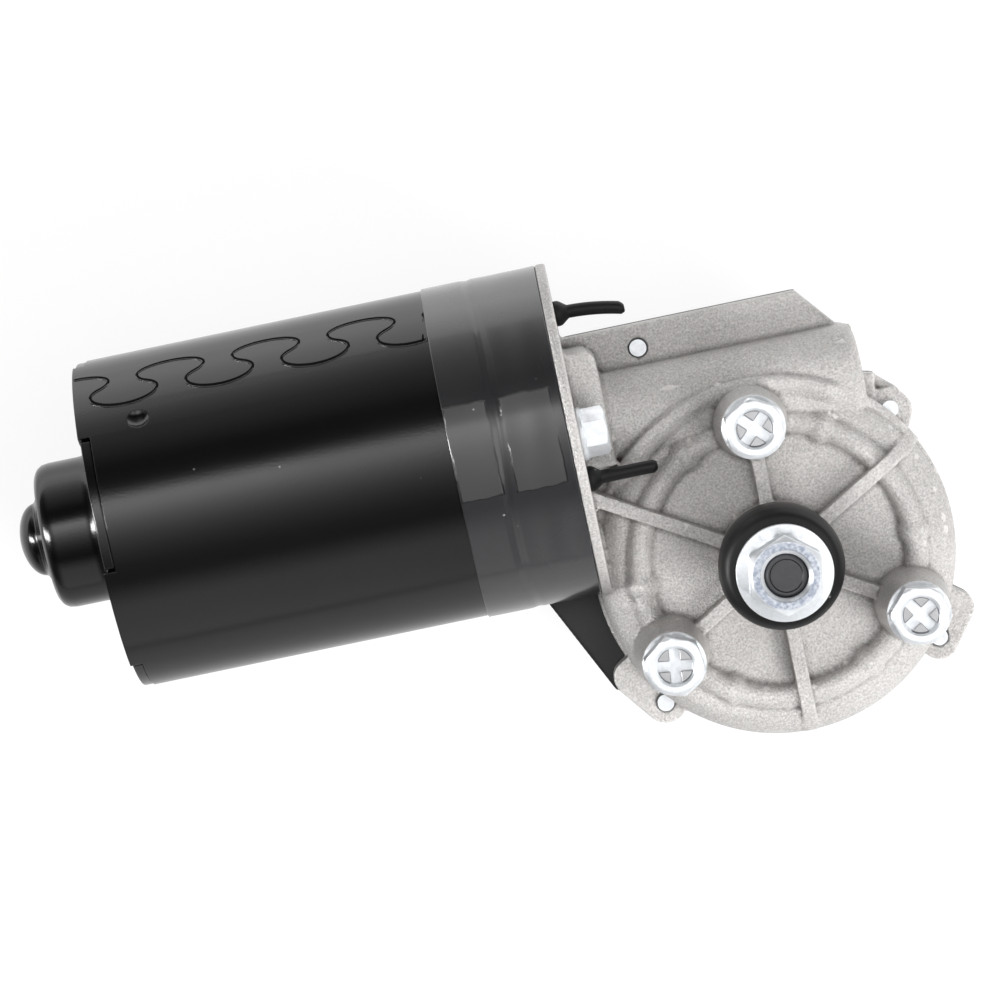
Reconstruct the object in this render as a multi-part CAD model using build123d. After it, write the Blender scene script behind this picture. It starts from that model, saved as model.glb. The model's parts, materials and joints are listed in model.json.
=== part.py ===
from build123d import *
import os
from math import acos, atan, cos, degrees, pi, radians, sin, sqrt, tan

# A two-brush permanent-magnet wiper motor with a worm gear, in millimetres.
# Origin: on the output shaft's axis, in the plane of the three mounting-boss faces.
# +Z runs out along the output shaft, +X along the motor axis from the tube to the worm's free end,
# +Y from the output shaft towards the motor axis.

# Worm gear
module = 1.0
wheel_teeth = 54
worm_pitch_radius = 4.2
pressure_angle = 20
addendum = 0.75 * module
dedendum = 1.0 * module
backlash = 0.24
wheel_face = 6.0
wheel_hub_radius = 9.0
park_disc_thickness = 0.5
park_disc_radius = 21.0
park_disc_bore = 8.0
worm_turns = 8

# Fits
running_fit = 0.03
face_gap = 0.05
slide_fit = 0.1
loose_fit = 0.3

# Axes
wheel_pitch_radius = wheel_teeth * module / 2
centre_distance = wheel_pitch_radius + worm_pitch_radius
axis_depth = 22.7
motor_centre = (0, centre_distance, -axis_depth)

# Gear housing, split just below the worm's bush
bush_radius = 8.0
bush_floor = 0.3
split_depth = axis_depth + bush_radius + bush_floor
rim_thickness = 3.0
rim_lip = 0.8
bowl_wall = 3.2
wheel_clearance = 2.65
cavity_radius = wheel_pitch_radius + addendum + wheel_clearance
bowl_radius = cavity_radius + bowl_wall
rim_radius = bowl_radius + rim_lip
floor_wall = 2.2
washer_room = 0.5
floor_depth = axis_depth - wheel_face / 2 - washer_room - floor_wall
shoulder_depth = floor_depth - 0.8
shoulder_radius = 5.4
cavity_fillet = 3.5
bead_radius = 2.2
bead_circle = bowl_radius - shoulder_radius - bead_radius
bead_depth = floor_depth - 0.4
bump_count = 6
bump_radius = 3.0
rib_width = 2.6
rib_depth = floor_depth - 3.8
hub_radius = 10.3
hub_depth = 4.0
boss_inset = 7.1
boss_circle = 2 * (bowl_radius - boss_inset)
boss_foot_radius = 7.2
boss_face_radius = 6.0
pad_depth = split_depth - 5.5
ear_depth = split_depth - 5.0
plate_top = centre_distance + 16.7
plate_foot = 12.0
plate_corner = 13.5
plate_chamfer = (6.7, 8.0)
tunnel_radius = 9.0
tunnel_end = 22.5
tunnel_end_wall = 2.2
tunnel_end_fillet = 2.5
worm_bore = 6.3
neck_low = centre_distance - 7.5
neck_high = centre_distance + 14.8
neck_depth = axis_depth - 10.7
neck_length = 5.7
web_depth = axis_depth - 3.1

# Motor flange and tube, the tube long enough for the magnets
tube_radius = 31.1
tube_wall = 2.5
flange_lip = 0.4
flange_radius = tube_radius + flange_lip
flange_thickness = 2.0
flange_back = 0.1 - bowl_radius
flange_front = flange_back + flange_thickness
neck_end = flange_front + neck_length
magnet_thickness = 7.0
magnet_length = 50.0
magnet_span = 130
magnet_front = flange_back - 30.5
magnet_rear = magnet_front - magnet_length
magnet_room = 5.2
notch_depth = 2.3
tube_rear = magnet_rear - magnet_room - notch_depth
gasket_thickness = 0.4
band_thickness = 0.4
band_length = 21.6
notch_count = 4
notch_span = 48
notch_angle = 12.5
seam_angle = 57.5
seam_pitch = 18.0
seam_first = tube_rear + 9.5
seam_lobes = 5
seam_half_width = 6.3
seam_amplitude = 10.4
seam_gap = 0.3
seam_depth = 0.5
dent_angle = 40
dent_place = 11.5
dent_radius = 3.0
dent_depth = 0.8

# Rear end bell
bell_thickness = 2.0
cup_radius = 13.8
cup_face = tube_rear - 12.0
cup_wall = 1.6
dome_radius = 7.0
dome_tip = cup_face - 5.1

# Bearings
journal_radius = 5.0
rear_journal_radius = 4.0
rear_ball_radius = 7.5
rear_ball_half_length = 4.5
nose_radius = 3.1
output_radius = 5.0
output_bush_radius = 7.0
output_bush_length = 6.0

# Output shaft and nut
shaft_low = -axis_depth - wheel_face / 2 - 3.3
taper_low = 1.5
nut_seat = 8.0
taper_small_radius = 4.3
thread_radius = 4.0
shaft_top = 14.0
nut_flats = 13.0
nut_flange_radius = 8.95
nut_height = 6.5
nut_turn = 21
cap_radius = 11.75
cap_low = -9.0
cap_top = 3.6
circlip_thickness = 1.0
washer_thickness = 0.8

# Fasteners
bolt_radius = 3.0
bolt_flats = 10.0
bolt_flange_radius = 5.9
bolt_dish_radius = 3.3
bolt_cross_width = 1.9
bolt_turns = (0, 8, 18)
bolt_head_height = 5.2
bolt_length = 13.5
tie_radius = 2.5
tie_flats = 8.0
tie_flange_radius = 5.0
tie_head_height = 5.3
cover_screw_radius = 1.6
cover_screw_head_radius = 3.0

# Armature
air_gap = 0.7
core_radius = tube_radius - tube_wall - magnet_thickness - air_gap
core_front = magnet_front - 9.0
core_rear = magnet_rear + 5.0
slot_count = 12
winding_radius = core_radius - 2.4
winding_overhang = 6.0
commutator_radius = 11.0
commutator_front = flange_back - 12.5
commutator_length = 14.0
commutator_slot = 0.5

# Magnet clips
clip_thickness = 1.0
clip_inset = 2.0

# Brush gear
brush_width = 7.0
brush_breadth = 8.0
brush_centre = flange_back - 20.0
holder_wall = 0.8
holder_outer = tube_radius - tube_wall - 1.3
spring_room = 5.4
brush_length = holder_outer - holder_wall - commutator_radius - slide_fit - spring_room
part_circle = tube_radius - tube_wall - 10.1
brush_plate_thickness = 3.0
front_plate_thickness = 2.5

# Cover and connector
cover_rim = 2.4
cover_dome_radius = 24.5
cover_dome_depth = split_depth + 10.0
cover_wall = 2.5
connector_bottom = axis_depth + flange_radius
connector_mouth = flange_back - 2.2
connector_depth = 12.7
connector_high = centre_distance - flange_radius - 1.7
connector_low = connector_high - 16.0
connector_wall = 1.5
connector_back_wall = 2.5
terminal_length = 6.0
terminal_seat = 1.5
terminal_width = 4.8
terminal_thickness = 0.8
terminal_pitch = 6.4
terminal_row_pitch = 9.6

# The tie screws clear the cover's rim
tie_offset = split_depth + gasket_thickness + cover_rim - axis_depth + tie_flange_radius + 0.6

# Places in the plan view
vent_places = [(centre_distance + 21.9, 2.7 - axis_depth), (centre_distance - 8.7, 14.7 - axis_depth)]
vent_length = 11.5
vent_radius = 1.25
vent_foot_radius = 2.45


def disc(radius, low, high):
    """A cylinder about Z between two heights."""
    return Pos(0, 0, low) * Cylinder(radius, high - low, align=(Align.CENTER, Align.CENTER, Align.MIN))


def ring(outer, inner, low, high):
    return disc(outer, low, high) - disc(inner, low - 1, high + 1)


def turned(points, rounded=()):
    """A profile of (radius, height) points turned about Z, with some of its corners rounded."""
    profile = make_face(Polyline(*points, close=True))
    for corner, radius in rounded:
        vertex = profile.vertices().sort_by_distance((corner[0], corner[1], 0))[0]
        profile = fillet(vertex, radius)
    return revolve(Plane.XZ * profile, Axis.Z)


def on_motor(shape):
    """Takes a shape drawn about Z to the motor axis, where its Z becomes the frame's X."""
    return Pos(*motor_centre) * Rot(0, 90, 0) * shape


def polar(radius, angle):
    return (radius * cos(radians(angle)), radius * sin(radians(angle)))


def wedge(radius, middle, span):
    """A flat wedge from the centre, wide enough to cut a ring of the given radius."""
    steps = [middle + span * (k / 4 - 0.5) for k in range(5)]
    return make_face(Polyline((0, 0), *[polar(2 * radius, a) for a in steps], close=True))


def sector(outer, inner, middle, span, low, high):
    cut = Pos(0, 0, low) * extrude(wedge(outer, middle, span), high - low)
    return ring(outer, inner, low, high) & cut


def turns(count, first=0):
    """Rotations about Z, evenly spaced."""
    return [Rot(0, 0, first + 360 * k / count) for k in range(count)]


def hexagon(flats, low, high):
    return Pos(0, 0, low) * extrude(RegularPolygon(flats / 2, 6, major_radius=False), high - low)


def write(node, *shapes):
    """Writes one node, which may hold several separate solids."""
    solids = [solid for shape in shapes for solid in shape.solids()]
    export_step(solids[0] if len(solids) == 1 else Compound(solids), f"parts/{node}.step")


# ---- Gear housing


def lobe(*circles):
    """The hull of a few circles, each (x, y, radius)."""
    return make_hull([edge for x, y, r in circles for edge in (Pos(x, y) * Circle(r)).edges()])


def beyond_bowl(distance, angle):
    """A place (x, y) at a distance outside the bowl's wall, or inside it when negative."""
    return polar(bowl_radius + distance, angle)


def knuckle(distance, angle, radius):
    """A circle for lobe(), placed from the bowl's wall."""
    return (*beyond_bowl(distance, angle), radius)


def cover_screw_places():
    """One screw beside the tunnel and one in each ear."""
    beside_tunnel = (flange_front + 14.0, centre_distance + 12.2)
    return [beside_tunnel, beyond_bowl(1.2, 40.1), beyond_bowl(1.4, 222.3), beyond_bowl(1.3, 321.3)]


def ears():
    """The three ears that carry cover screws, each reaching back into the bowl."""
    upper_right = lobe(knuckle(1.1, 39.2, 3.9), knuckle(-7, 34.3, 5.0))
    lower_left = lobe(knuckle(1.4, 222.3, 4.0), knuckle(2.1, 209.6, 3.6), knuckle(-9, 215, 6.0))
    lower_right = lobe(knuckle(1.8, 320.3, 3.6), knuckle(2.5, 331.6, 3.2), knuckle(-10, 329, 6.0))
    return [upper_right, lower_left, lower_right]


def plate_outline():
    """The plate round the worm tunnel, from the motor flange to the chamfered corner."""
    across, down = plate_chamfer
    low = centre_distance - 1.0
    points = [
        (flange_front, plate_foot),
        (flange_front, plate_top),
        (plate_corner, plate_top),
        (plate_corner + across, plate_top - down),
        (tunnel_end, plate_top - down - 0.6),
        (tunnel_end, low),
        (tunnel_end + 2.6, low - 0.6),
        (tunnel_end - 0.5, plate_foot),
    ]
    return make_face(Polyline(*points, close=True))


def rim_outline():
    """The outline that housing, gasket and cover share at the split."""
    outline = Circle(rim_radius) + plate_outline()
    for ear in ears():
        outline += ear
    return outline


def tube_space():
    """The room that the tube with its band takes behind the motor flange."""
    return on_motor(disc(flange_radius + slide_fit, tube_rear, flange_back))


def bowl():
    outside = [
        (0, -split_depth),
        (bowl_radius, -split_depth),
        (bowl_radius, -shoulder_depth),
        (bead_circle, -shoulder_depth),
        (bead_circle, -floor_depth),
        (0, -floor_depth),
    ]
    body = turned(outside, [((bowl_radius, -shoulder_depth), shoulder_radius)])
    bead = Pos(0, 0, -bead_depth) * Torus(bead_circle, bead_radius)
    body += bead
    for turn in turns(bump_count):
        body += turn * Pos(bead_circle, 0, -floor_depth) * Sphere(bump_radius)
    return body


def rib(profile, angle):
    """A straight rib that stands along a direction from the output shaft."""
    side = Plane.XZ * make_face(Polyline(*profile, close=True))
    return Rot(0, 0, angle) * extrude(side, rib_width / 2, both=True)


def ribs():
    """Six ribs: three reach the bosses, two fall away over the shoulder, one runs on to the motor flange."""
    foot = -floor_depth - 1
    outer = bowl_radius - 0.2
    boss = boss_circle / 2
    flange_reach = 1 - flange_front / cos(radians(30))
    falling = [
        (0, foot),
        (0, -rib_depth),
        (bead_circle + bead_radius, -rib_depth),
        (outer, -shoulder_depth - shoulder_radius / 2),
        (outer, -floor_depth - shoulder_radius),
    ]
    to_boss = [(0, foot), (0, -rib_depth), (boss, -rib_depth), (boss, foot)]
    to_flange = [(0, foot), (0, -rib_depth), (flange_reach, -rib_depth), (flange_reach, -web_depth - 1)]
    parts = [rib(falling, angle) for angle in (30, 270)]
    parts += [rib(to_boss, angle) for angle in (90, 210, 330)]
    return parts + [rib(to_flange, 150)]


def bosses():
    parts = []
    for turn in turns(3, 90):
        profile = [(0, -floor_depth - 1), (boss_foot_radius, -floor_depth - 1), (boss_face_radius, 0), (0, 0)]
        boss = turned(profile, [((boss_face_radius, 0), 0.7)])
        parts.append(turn * Pos(boss_circle / 2, 0, 0) * boss)
    return parts


def tunnel():
    """The worm tunnel, round on top and straight down to the split."""
    body = on_motor(disc(tunnel_radius, flange_front, tunnel_end))
    foot_length = tunnel_end - flange_back - flange_thickness
    foot_height = split_depth - axis_depth
    foot = Pos(tunnel_end, centre_distance, -split_depth) * Box(
        foot_length, 2 * tunnel_radius, foot_height, align=(Align.MAX, Align.CENTER, Align.MIN)
    )
    body += foot
    body -= Pos(0, centre_distance, -split_depth) * Box(
        200, 4 * tunnel_radius, 20, align=(Align.CENTER, Align.CENTER, Align.MAX)
    )
    end_edge = body.faces().sort_by(Axis.X)[-1].edges().filter_by(GeomType.CIRCLE)
    return fillet(end_edge, tunnel_end_fillet)


def neck():
    """The raised collar at the root of the tunnel and the web that fills the corner to the bowl."""
    collar = Pos(flange_front, neck_low, -split_depth) * Box(
        neck_length,
        neck_high - neck_low,
        split_depth - neck_depth,
        align=(Align.MIN, Align.MIN, Align.MIN),
    )
    corner = collar.edges().filter_by(Axis.Z).sort_by(Axis.X)[-2:].sort_by(Axis.Y)[-1]
    collar = fillet(corner, 3.0)
    collar = fillet(collar.faces().sort_by(Axis.Z)[-1].edges().sort_by(Axis.X)[-1], 1.0)
    web_points = [(flange_front, 8), (flange_front, centre_distance), (-6, centre_distance), (-14, 20)]
    web = extrude(make_face(Polyline(*web_points, close=True)), split_depth - web_depth)
    return collar + Pos(0, 0, -split_depth) * web


def tie_places():
    return [Pos(0, centre_distance, -axis_depth + side * tie_offset) for side in (1, -1)]


def gear_housing():
    body = bowl()
    body += Pos(0, 0, -split_depth) * extrude(rim_outline(), rim_thickness)
    for ear in ears():
        body += Pos(0, 0, -split_depth) * extrude(ear, split_depth - ear_depth)
    body += Pos(0, 0, -split_depth) * extrude(plate_outline(), split_depth - pad_depth)
    body += tunnel()
    body += neck()
    for part in ribs():
        body += part
    foot = -floor_depth - 1
    body += turned([(0, foot), (hub_radius + 0.7, foot), (hub_radius, -hub_depth), (0, -hub_depth)])
    for boss in bosses():
        body += boss
    body += on_motor(disc(flange_radius, flange_back, flange_front))

    cavity_top = -floor_depth - floor_wall
    below = -split_depth - 1
    cavity = [(0, below), (cavity_radius, below), (cavity_radius, cavity_top), (0, cavity_top)]
    body -= turned(cavity, [((cavity_radius, cavity_top), cavity_fillet)])
    body -= on_motor(disc(worm_bore, flange_back, tunnel_end - tunnel_end_wall))
    body -= on_motor(disc(bush_radius, flange_back - 1, neck_end + 1))
    body -= disc(output_bush_radius, -split_depth, 1)
    for turn in turns(3, 90):
        body -= turn * Pos(boss_circle / 2, 0, 0) * disc(bolt_radius, -bolt_length - 0.7, 1)
    for x, y in cover_screw_places():
        body -= Pos(x, y) * disc(cover_screw_radius, below, 0)
        body -= Pos(x, y) * disc(cover_screw_radius + loose_fit, -pad_depth - 1.5, -pad_depth + 1)
    for place in tie_places():
        body -= place * Rot(0, 90, 0) * disc(tie_radius, flange_back - 1, flange_front + 0.5)
    for y, z in vent_places:
        body -= Pos(0, y, z) * Rot(0, 90, 0) * disc(vent_radius, flange_back - 1, flange_front + 1)
    body -= tube_space()
    return body


# ---- Gear cover side


def cover_web():
    """The plate that reaches past the bowl to the connector, with its slanted free edge."""
    corner = flange_back - 10.7
    inside = -cover_dome_radius
    low, high = connector_low - 2.0, connector_high + 2.0
    points = [
        (corner, high - 0.6), (flange_back - 1.1, low - 0.2), (inside, low),
        (inside, high), (flange_front, high + 0.4), (corner + 2.2, high + 0.4),
    ]
    return make_face(Polyline(*points, close=True))


def connector_body():
    return Pos(connector_mouth, connector_low, -connector_bottom) * Box(
        connector_depth,
        connector_high - connector_low,
        connector_bottom - split_depth - gasket_thickness - cover_rim,
        align=(Align.MIN, Align.MIN, Align.MIN),
    )


def terminal_places():
    """Two rows of two blades, each place (y, z) at the middle of a blade."""
    middle_y = (connector_low + connector_high) / 2
    top = -split_depth - gasket_thickness - cover_rim
    middle_z = (top - connector_bottom) / 2
    across, up = terminal_pitch / 2, terminal_row_pitch / 2
    return [(middle_y + side * across, middle_z + level * up) for level in (1, -1) for side in (1, -1)]


def connector_shell():
    top = -split_depth - gasket_thickness - cover_rim
    shell = connector_body()
    socket_length = connector_depth - connector_back_wall
    socket = Box(
        socket_length + 1,
        connector_high - connector_low - 2 * connector_wall,
        connector_bottom + top - 2 * connector_wall,
        align=(Align.MIN, Align.MIN, Align.MIN),
    )
    socket_corner = (connector_mouth - 1, connector_low + connector_wall, -connector_bottom + connector_wall)
    shell -= Pos(*socket_corner) * socket
    for blade in terminal_pins():
        shell -= blade
    return shell


def terminal_pins():
    start = connector_mouth + connector_depth - connector_back_wall - terminal_length
    blades = []
    for y, z in terminal_places():
        blade = Pos(start, y, z) * Box(
            terminal_length + terminal_seat, terminal_width, terminal_thickness,
            align=(Align.MIN, Align.CENTER, Align.CENTER),
        )
        blades.append(chamfer(blade.edges().filter_by(Axis.Z).sort_by(Axis.X)[:2], 1.0))
    return blades


def cover_cavity_radius():
    return cover_dome_radius - cover_wall


def gear_cover():
    top = -split_depth - gasket_thickness
    rim_low = top - cover_rim
    body = Pos(0, 0, rim_low) * extrude(rim_outline(), cover_rim)
    body += Pos(0, 0, rim_low) * extrude(cover_web(), cover_rim)
    dome = [(0, top), (cover_dome_radius, top), (cover_dome_radius, -cover_dome_depth), (0, -cover_dome_depth)]
    body += turned(dome, [((cover_dome_radius, -cover_dome_depth), 3.0)])
    low = -cover_dome_depth + 1
    for turn in turns(6, 30):
        side = [(0, rim_low), (bowl_radius - 2, rim_low), (cover_dome_radius - 2, low), (0, low)]
        body += turn * extrude(Plane.XZ * make_face(Polyline(*side, close=True)), 1.0, both=True)
    cavity_low = -cover_dome_depth + cover_wall
    inner = cover_cavity_radius()
    cavity = [(0, top + 1), (inner, top + 1), (inner, cavity_low), (0, cavity_low)]
    body -= turned(cavity, [((inner, cavity_low), 2.0)])
    body += disc(output_radius, cavity_low, shaft_low - loose_fit)
    body -= connector_body()
    for x, y in cover_screw_places():
        body -= Pos(x, y) * disc(cover_screw_radius, rim_low - 10, top + 1)
    body -= on_motor(disc(flange_radius + loose_fit, tube_rear, flange_front + loose_fit))
    return body


def cover_gasket():
    sheet = rim_outline() - Circle(cavity_radius)
    sheet = Pos(0, 0, -split_depth - gasket_thickness) * extrude(sheet, gasket_thickness)
    for x, y in cover_screw_places():
        sheet -= Pos(x, y) * disc(cover_screw_radius, -split_depth - 1, -split_depth + 1)
    return sheet - on_motor(disc(flange_radius + loose_fit, tube_rear, flange_front))


def cover_screws():
    head_top = -split_depth - gasket_thickness - cover_rim
    screws = []
    for x, y in cover_screw_places():
        screw = disc(cover_screw_radius, head_top, -pad_depth + 0.3)
        screw += disc(cover_screw_head_radius, head_top - 2.2, head_top)
        screw -= hexagon(2.5, head_top - 2.3, head_top - 1.0)
        screws.append(Pos(x, y) * screw)
    return screws


def contact_board():
    low = -cover_dome_depth + cover_wall
    return ring(cover_cavity_radius() - 2.2, output_radius, low, low + 1.2)


def park_contacts():
    """Three spring fingers that rise from the board to the disc under the wheel."""
    board_top = -cover_dome_depth + cover_wall + 1.2
    foot_top = board_top + 0.4
    tip = wheel_low() - park_disc_thickness - loose_fit
    fingers = []
    for radius in (park_disc_bore + 3.0, park_disc_bore + 6.5, park_disc_bore + 10.0):
        path = [
            (-9, board_top), (9, board_top), (9, foot_top), (-1, foot_top), (6, tip - 1.2),
            (8, tip - 0.2), (7.6, tip), (5.4, tip - 1.0), (-2.2, foot_top), (-9, foot_top),
        ]
        finger = extrude(Plane.YZ * make_face(Polyline(*path, close=True)), 1.0, both=True)
        fingers.append(Rot(0, 0, 180) * Pos(radius, 0, 0) * finger)
    return fingers


# ---- Worm wheel and output shaft


def wheel_low():
    return -axis_depth - wheel_face / 2


def tooth_half_angle(radius):
    """Half of an involute tooth's angular thickness at a radius, in degrees."""
    at_pitch = (pi * module / 2 - backlash / 2) / (2 * wheel_pitch_radius)
    base = wheel_pitch_radius * cos(radians(pressure_angle))
    angle = acos(min(1, base / radius))
    pitch_angle = radians(pressure_angle)
    return degrees(at_pitch + (tan(pitch_angle) - pitch_angle) - (tan(angle) - angle))


def wheel_outline():
    """All the teeth as one closed outline, with a gap on the +Y side where the worm meshes."""
    radii = [wheel_pitch_radius - dedendum, wheel_pitch_radius, wheel_pitch_radius + addendum]
    points = []
    for k in range(wheel_teeth):
        middle = 90 + 360 * (k + 0.5) / wheel_teeth
        points += [polar(r, middle - tooth_half_angle(r)) for r in radii]
        points += [polar(r, middle + tooth_half_angle(r)) for r in reversed(radii)]
    return make_face(Polyline(*points, close=True))


def worm_wheel():
    """Helical teeth that lie along the worm's thread, on a hub, a web and a rim."""
    lead_slope = module / (2 * worm_pitch_radius)
    twist = degrees(lead_slope * wheel_face / 2 / wheel_pitch_radius)
    low = wheel_low()
    outline = wheel_outline()
    underside = Pos(0, 0, low) * Rot(0, 0, -twist) * outline
    top_side = Pos(0, 0, low + wheel_face) * Rot(0, 0, twist) * outline
    wheel = loft([underside, top_side], ruled=True)
    rim_inside = wheel_pitch_radius - dedendum - 3.0
    wheel -= ring(rim_inside, wheel_hub_radius, low + wheel_face - 2.0, low + wheel_face + 1)
    for turn in turns(6):
        spoke = Box(rim_inside - wheel_hub_radius + 0.6, 1.6, 2.0, align=(Align.MIN, Align.CENTER, Align.MIN))
        wheel += turn * Pos(wheel_hub_radius - 0.3, 0, low + wheel_face - 2.0) * spoke
    wheel -= disc(output_radius, low - 1, low + wheel_face + 1)
    return wheel


def park_disc():
    """The contact plate under the wheel, with a notch where the wiper parks."""
    low = wheel_low() - park_disc_thickness
    plate = ring(park_disc_radius, park_disc_bore, low, wheel_low())
    middle = (park_disc_radius + park_disc_bore) / 2
    return plate - sector(park_disc_radius + 1, middle, 200, 40, low - 1, wheel_low() + 1)


def output_shaft():
    clip_low = -hub_depth + face_gap + washer_thickness + face_gap
    groove = output_radius - 0.4
    points = [
        (0, shaft_low), (output_radius - 0.5, shaft_low), (output_radius, shaft_low + 0.5),
        (output_radius, clip_low), (groove, clip_low),
        (groove, clip_low + circlip_thickness), (output_radius, clip_low + circlip_thickness),
        (output_radius, taper_low), (taper_small_radius, nut_seat), (thread_radius, nut_seat),
        (thread_radius, shaft_top - 0.6), (thread_radius - 0.6, shaft_top), (thread_radius - 0.9, shaft_top),
        (thread_radius - 1.1, shaft_top - 0.3), (0, shaft_top - 0.3),
    ]
    return turned(points)


def shaft_washers():
    upper = ring(8.5, output_radius, -hub_depth + face_gap, -hub_depth + face_gap + washer_thickness)
    cavity_top = -floor_depth - floor_wall
    lower = ring(8.5, output_radius, wheel_low() + wheel_face + face_gap, cavity_top - face_gap)
    return [upper, lower]


def circlip():
    low = -hub_depth + face_gap + washer_thickness + face_gap
    inner = output_radius - 0.4
    return ring(inner + 2.2, inner, low, low + circlip_thickness) - sector(20, 0.1, 0, 60, low - 1, low + 2)


def dust_cap():
    inside = hub_radius + 0.7
    points = [
        (inside, cap_low), (cap_radius - 0.4, cap_low), (cap_radius, -1.5), (cap_radius - 0.3, 0.8),
        (cap_radius - 2.2, 2.8), (cap_radius - 4.2, cap_top), (output_radius, cap_top),
        (output_radius, 1.2), (inside - 1.6, 1.2), (inside, -0.6),
    ]
    corners = [((cap_radius - 0.3, 0.8), 1.2), ((cap_radius - 2.2, 2.8), 1.2)]
    return turned(points, corners) - disc(output_radius, taper_low - 8, cap_top + 1)


def shaft_nut():
    top = nut_seat + nut_height
    corner = nut_flats / sqrt(3)
    flat = nut_flats / 2 - 0.2
    skirt = nut_seat + 2.6
    outer = nut_flange_radius
    flange = turned([(0, nut_seat), (outer, nut_seat), (outer, nut_seat + 0.9), (flat, skirt), (0, skirt)])
    crown = turned([(0, nut_seat), (corner, nut_seat), (corner, top - 0.8), (flat, top), (0, top)])
    nut = flange + Rot(0, 0, nut_turn) * (hexagon(nut_flats, nut_seat, top) & crown)
    nut -= disc(thread_radius, nut_seat - 1, top + 1)
    bore = thread_radius
    return nut - turned([(0, top - 0.9), (bore, top - 0.9), (bore + 0.9, top + 0.01), (0, top + 0.01)])


def output_bushes():
    upper = ring(output_bush_radius, output_radius + running_fit, -hub_depth - output_bush_length, -hub_depth)
    low = -floor_depth - floor_wall
    lower = ring(output_bush_radius, output_radius + running_fit, low, low + output_bush_length)
    return upper, lower


# ---- Fasteners and vents


def mounting_bolts():
    """Flange bolts with a dished head and a cross recess."""
    bolts = []
    for turn, tightened in zip(turns(3, 90), bolt_turns):
        top = bolt_head_height
        low = -bolt_length
        crown_radius = bolt_flats / sqrt(3)
        crown_top = bolt_flats / 2 - 0.3
        crown = turned([(0, 0), (crown_radius, 0), (crown_radius, top - 0.7), (crown_top, top), (0, top)])
        bolt = hexagon(bolt_flats, 0, top) & crown
        bolt += disc(bolt_flange_radius, 0, 1.3)
        bolt += disc(bolt_radius, low + 0.6, 0.5)
        bolt += turned([(0, low), (bolt_radius - 0.6, low), (bolt_radius, low + 0.6), (0, low + 0.6)])
        bolt -= disc(bolt_dish_radius, top - 0.6, top + 1)
        slot = Box(5.4, bolt_cross_width, 4, align=(Align.CENTER, Align.CENTER, Align.MIN))
        for quarter in (45, 135):
            bolt -= Rot(0, 0, quarter) * Pos(0, 0, top - 2.0) * slot
        bolts.append(turn * Pos(boss_circle / 2, 0, 0) * Rot(0, 0, tightened) * bolt)
    return bolts


def tie_screws():
    """Hex screws with a washer flange that hold the tube to the housing."""
    seat = flange_front
    screws = []
    for place in tie_places():
        corner = tie_flats / sqrt(3)
        top = seat + tie_head_height
        crown_top = tie_flats / 2 - 0.2
        crown = turned([(0, seat), (corner, seat), (corner, top - 0.6), (crown_top, top), (0, top)])
        head = hexagon(tie_flats, seat, top) & crown
        head += disc(tie_flange_radius, seat, seat + 1.0)
        tip = flange_back - gasket_thickness - front_plate_thickness - 3.0
        screws.append(place * Rot(0, 90, 0) * (head + disc(tie_radius, tip, seat + 0.5)))
    return screws


def vent_pipe(place, bend):
    """A rubber pipe with a button foot on the motor flange, a slim stem and a round end."""
    y, z = place
    seat = flange_front
    foot = disc(vent_foot_radius, seat, seat + 2.0)
    foot = fillet(foot.edges().sort_by(Axis.Z)[-1], 0.7)
    stem = disc(vent_radius, flange_back, seat + 2.0)
    reach = vent_length - 2.0 - vent_radius
    if bend:
        radius = reach / radians(bend)
        bow = Plane(origin=(0, radius, seat + 2.0), x_dir=(0, -1, 0), z_dir=(-1, 0, 0))
        path = bow * CenterArc((0, 0, 0), radius, 0, bend)
        tip = path @ 1
        stem += sweep(Plane(path @ 0, z_dir=path % 0) * Circle(vent_radius), path=path)
        stem += Pos(tip) * Sphere(vent_radius)
    else:
        stem += disc(vent_radius, seat + 1.0, seat + 2.0 + reach)
        stem += Pos(0, 0, seat + 2.0 + reach) * Sphere(vent_radius)
    return Pos(0, y, z) * Rot(0, 90, 0) * (foot + stem)


# ---- Tube, end bell and what they hold


def seam_line():
    """The puzzle seam's line, lobe after lobe, as tangent elliptic arcs about its own middle."""
    quarter = seam_pitch / 4
    rise = sqrt(seam_half_width**2 - quarter**2)
    squash = seam_amplitude / 2 / (rise + seam_half_width)
    lean = degrees(atan(rise / quarter))
    turn = 180 + 2 * lean
    radii = (seam_half_width, seam_half_width * squash)
    arcs = []
    first = seam_first - seam_pitch / 2
    for k in range(2 * seam_lobes + 1):
        centre_x = first + k * seam_pitch / 2
        if k % 2 == 0:
            arcs.append(EllipticalCenterArc((centre_x, rise * squash), *radii, -lean, arc_size=turn))
        else:
            arcs.append(EllipticalCenterArc((centre_x, -rise * squash), *radii, 180 - lean, arc_size=turn))
    return arcs


def seam_groove():
    """The groove along the seam, a ribbon pushed through the tube's skin."""
    ribbon = Sketch() + [trace(arc, seam_gap) for arc in seam_line()]
    side = Vector(0, sin(radians(seam_angle)), cos(radians(seam_angle)))
    plane = Plane(origin=Vector(*motor_centre) + side * (tube_radius + 2), x_dir=(1, 0, 0), z_dir=side)
    cutter = extrude(plane * ribbon, -12)
    skin = on_motor(ring(tube_radius + 1, tube_radius - seam_depth, tube_rear - 1, flange_back))
    return cutter & skin


def notch_turns():
    """Places of the notches about the motor axis, from the side that faces +Z."""
    return turns(notch_count, 180 - notch_angle)


def lanced_dent():
    """A small pressed pocket beside the seam, as a ball sunk into the skin."""
    centre = tube_radius + dent_radius - dent_depth
    return Rot(0, 0, 180 - dent_angle) * Pos(centre, 0, tube_rear + dent_place) * Sphere(dent_radius)


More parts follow.
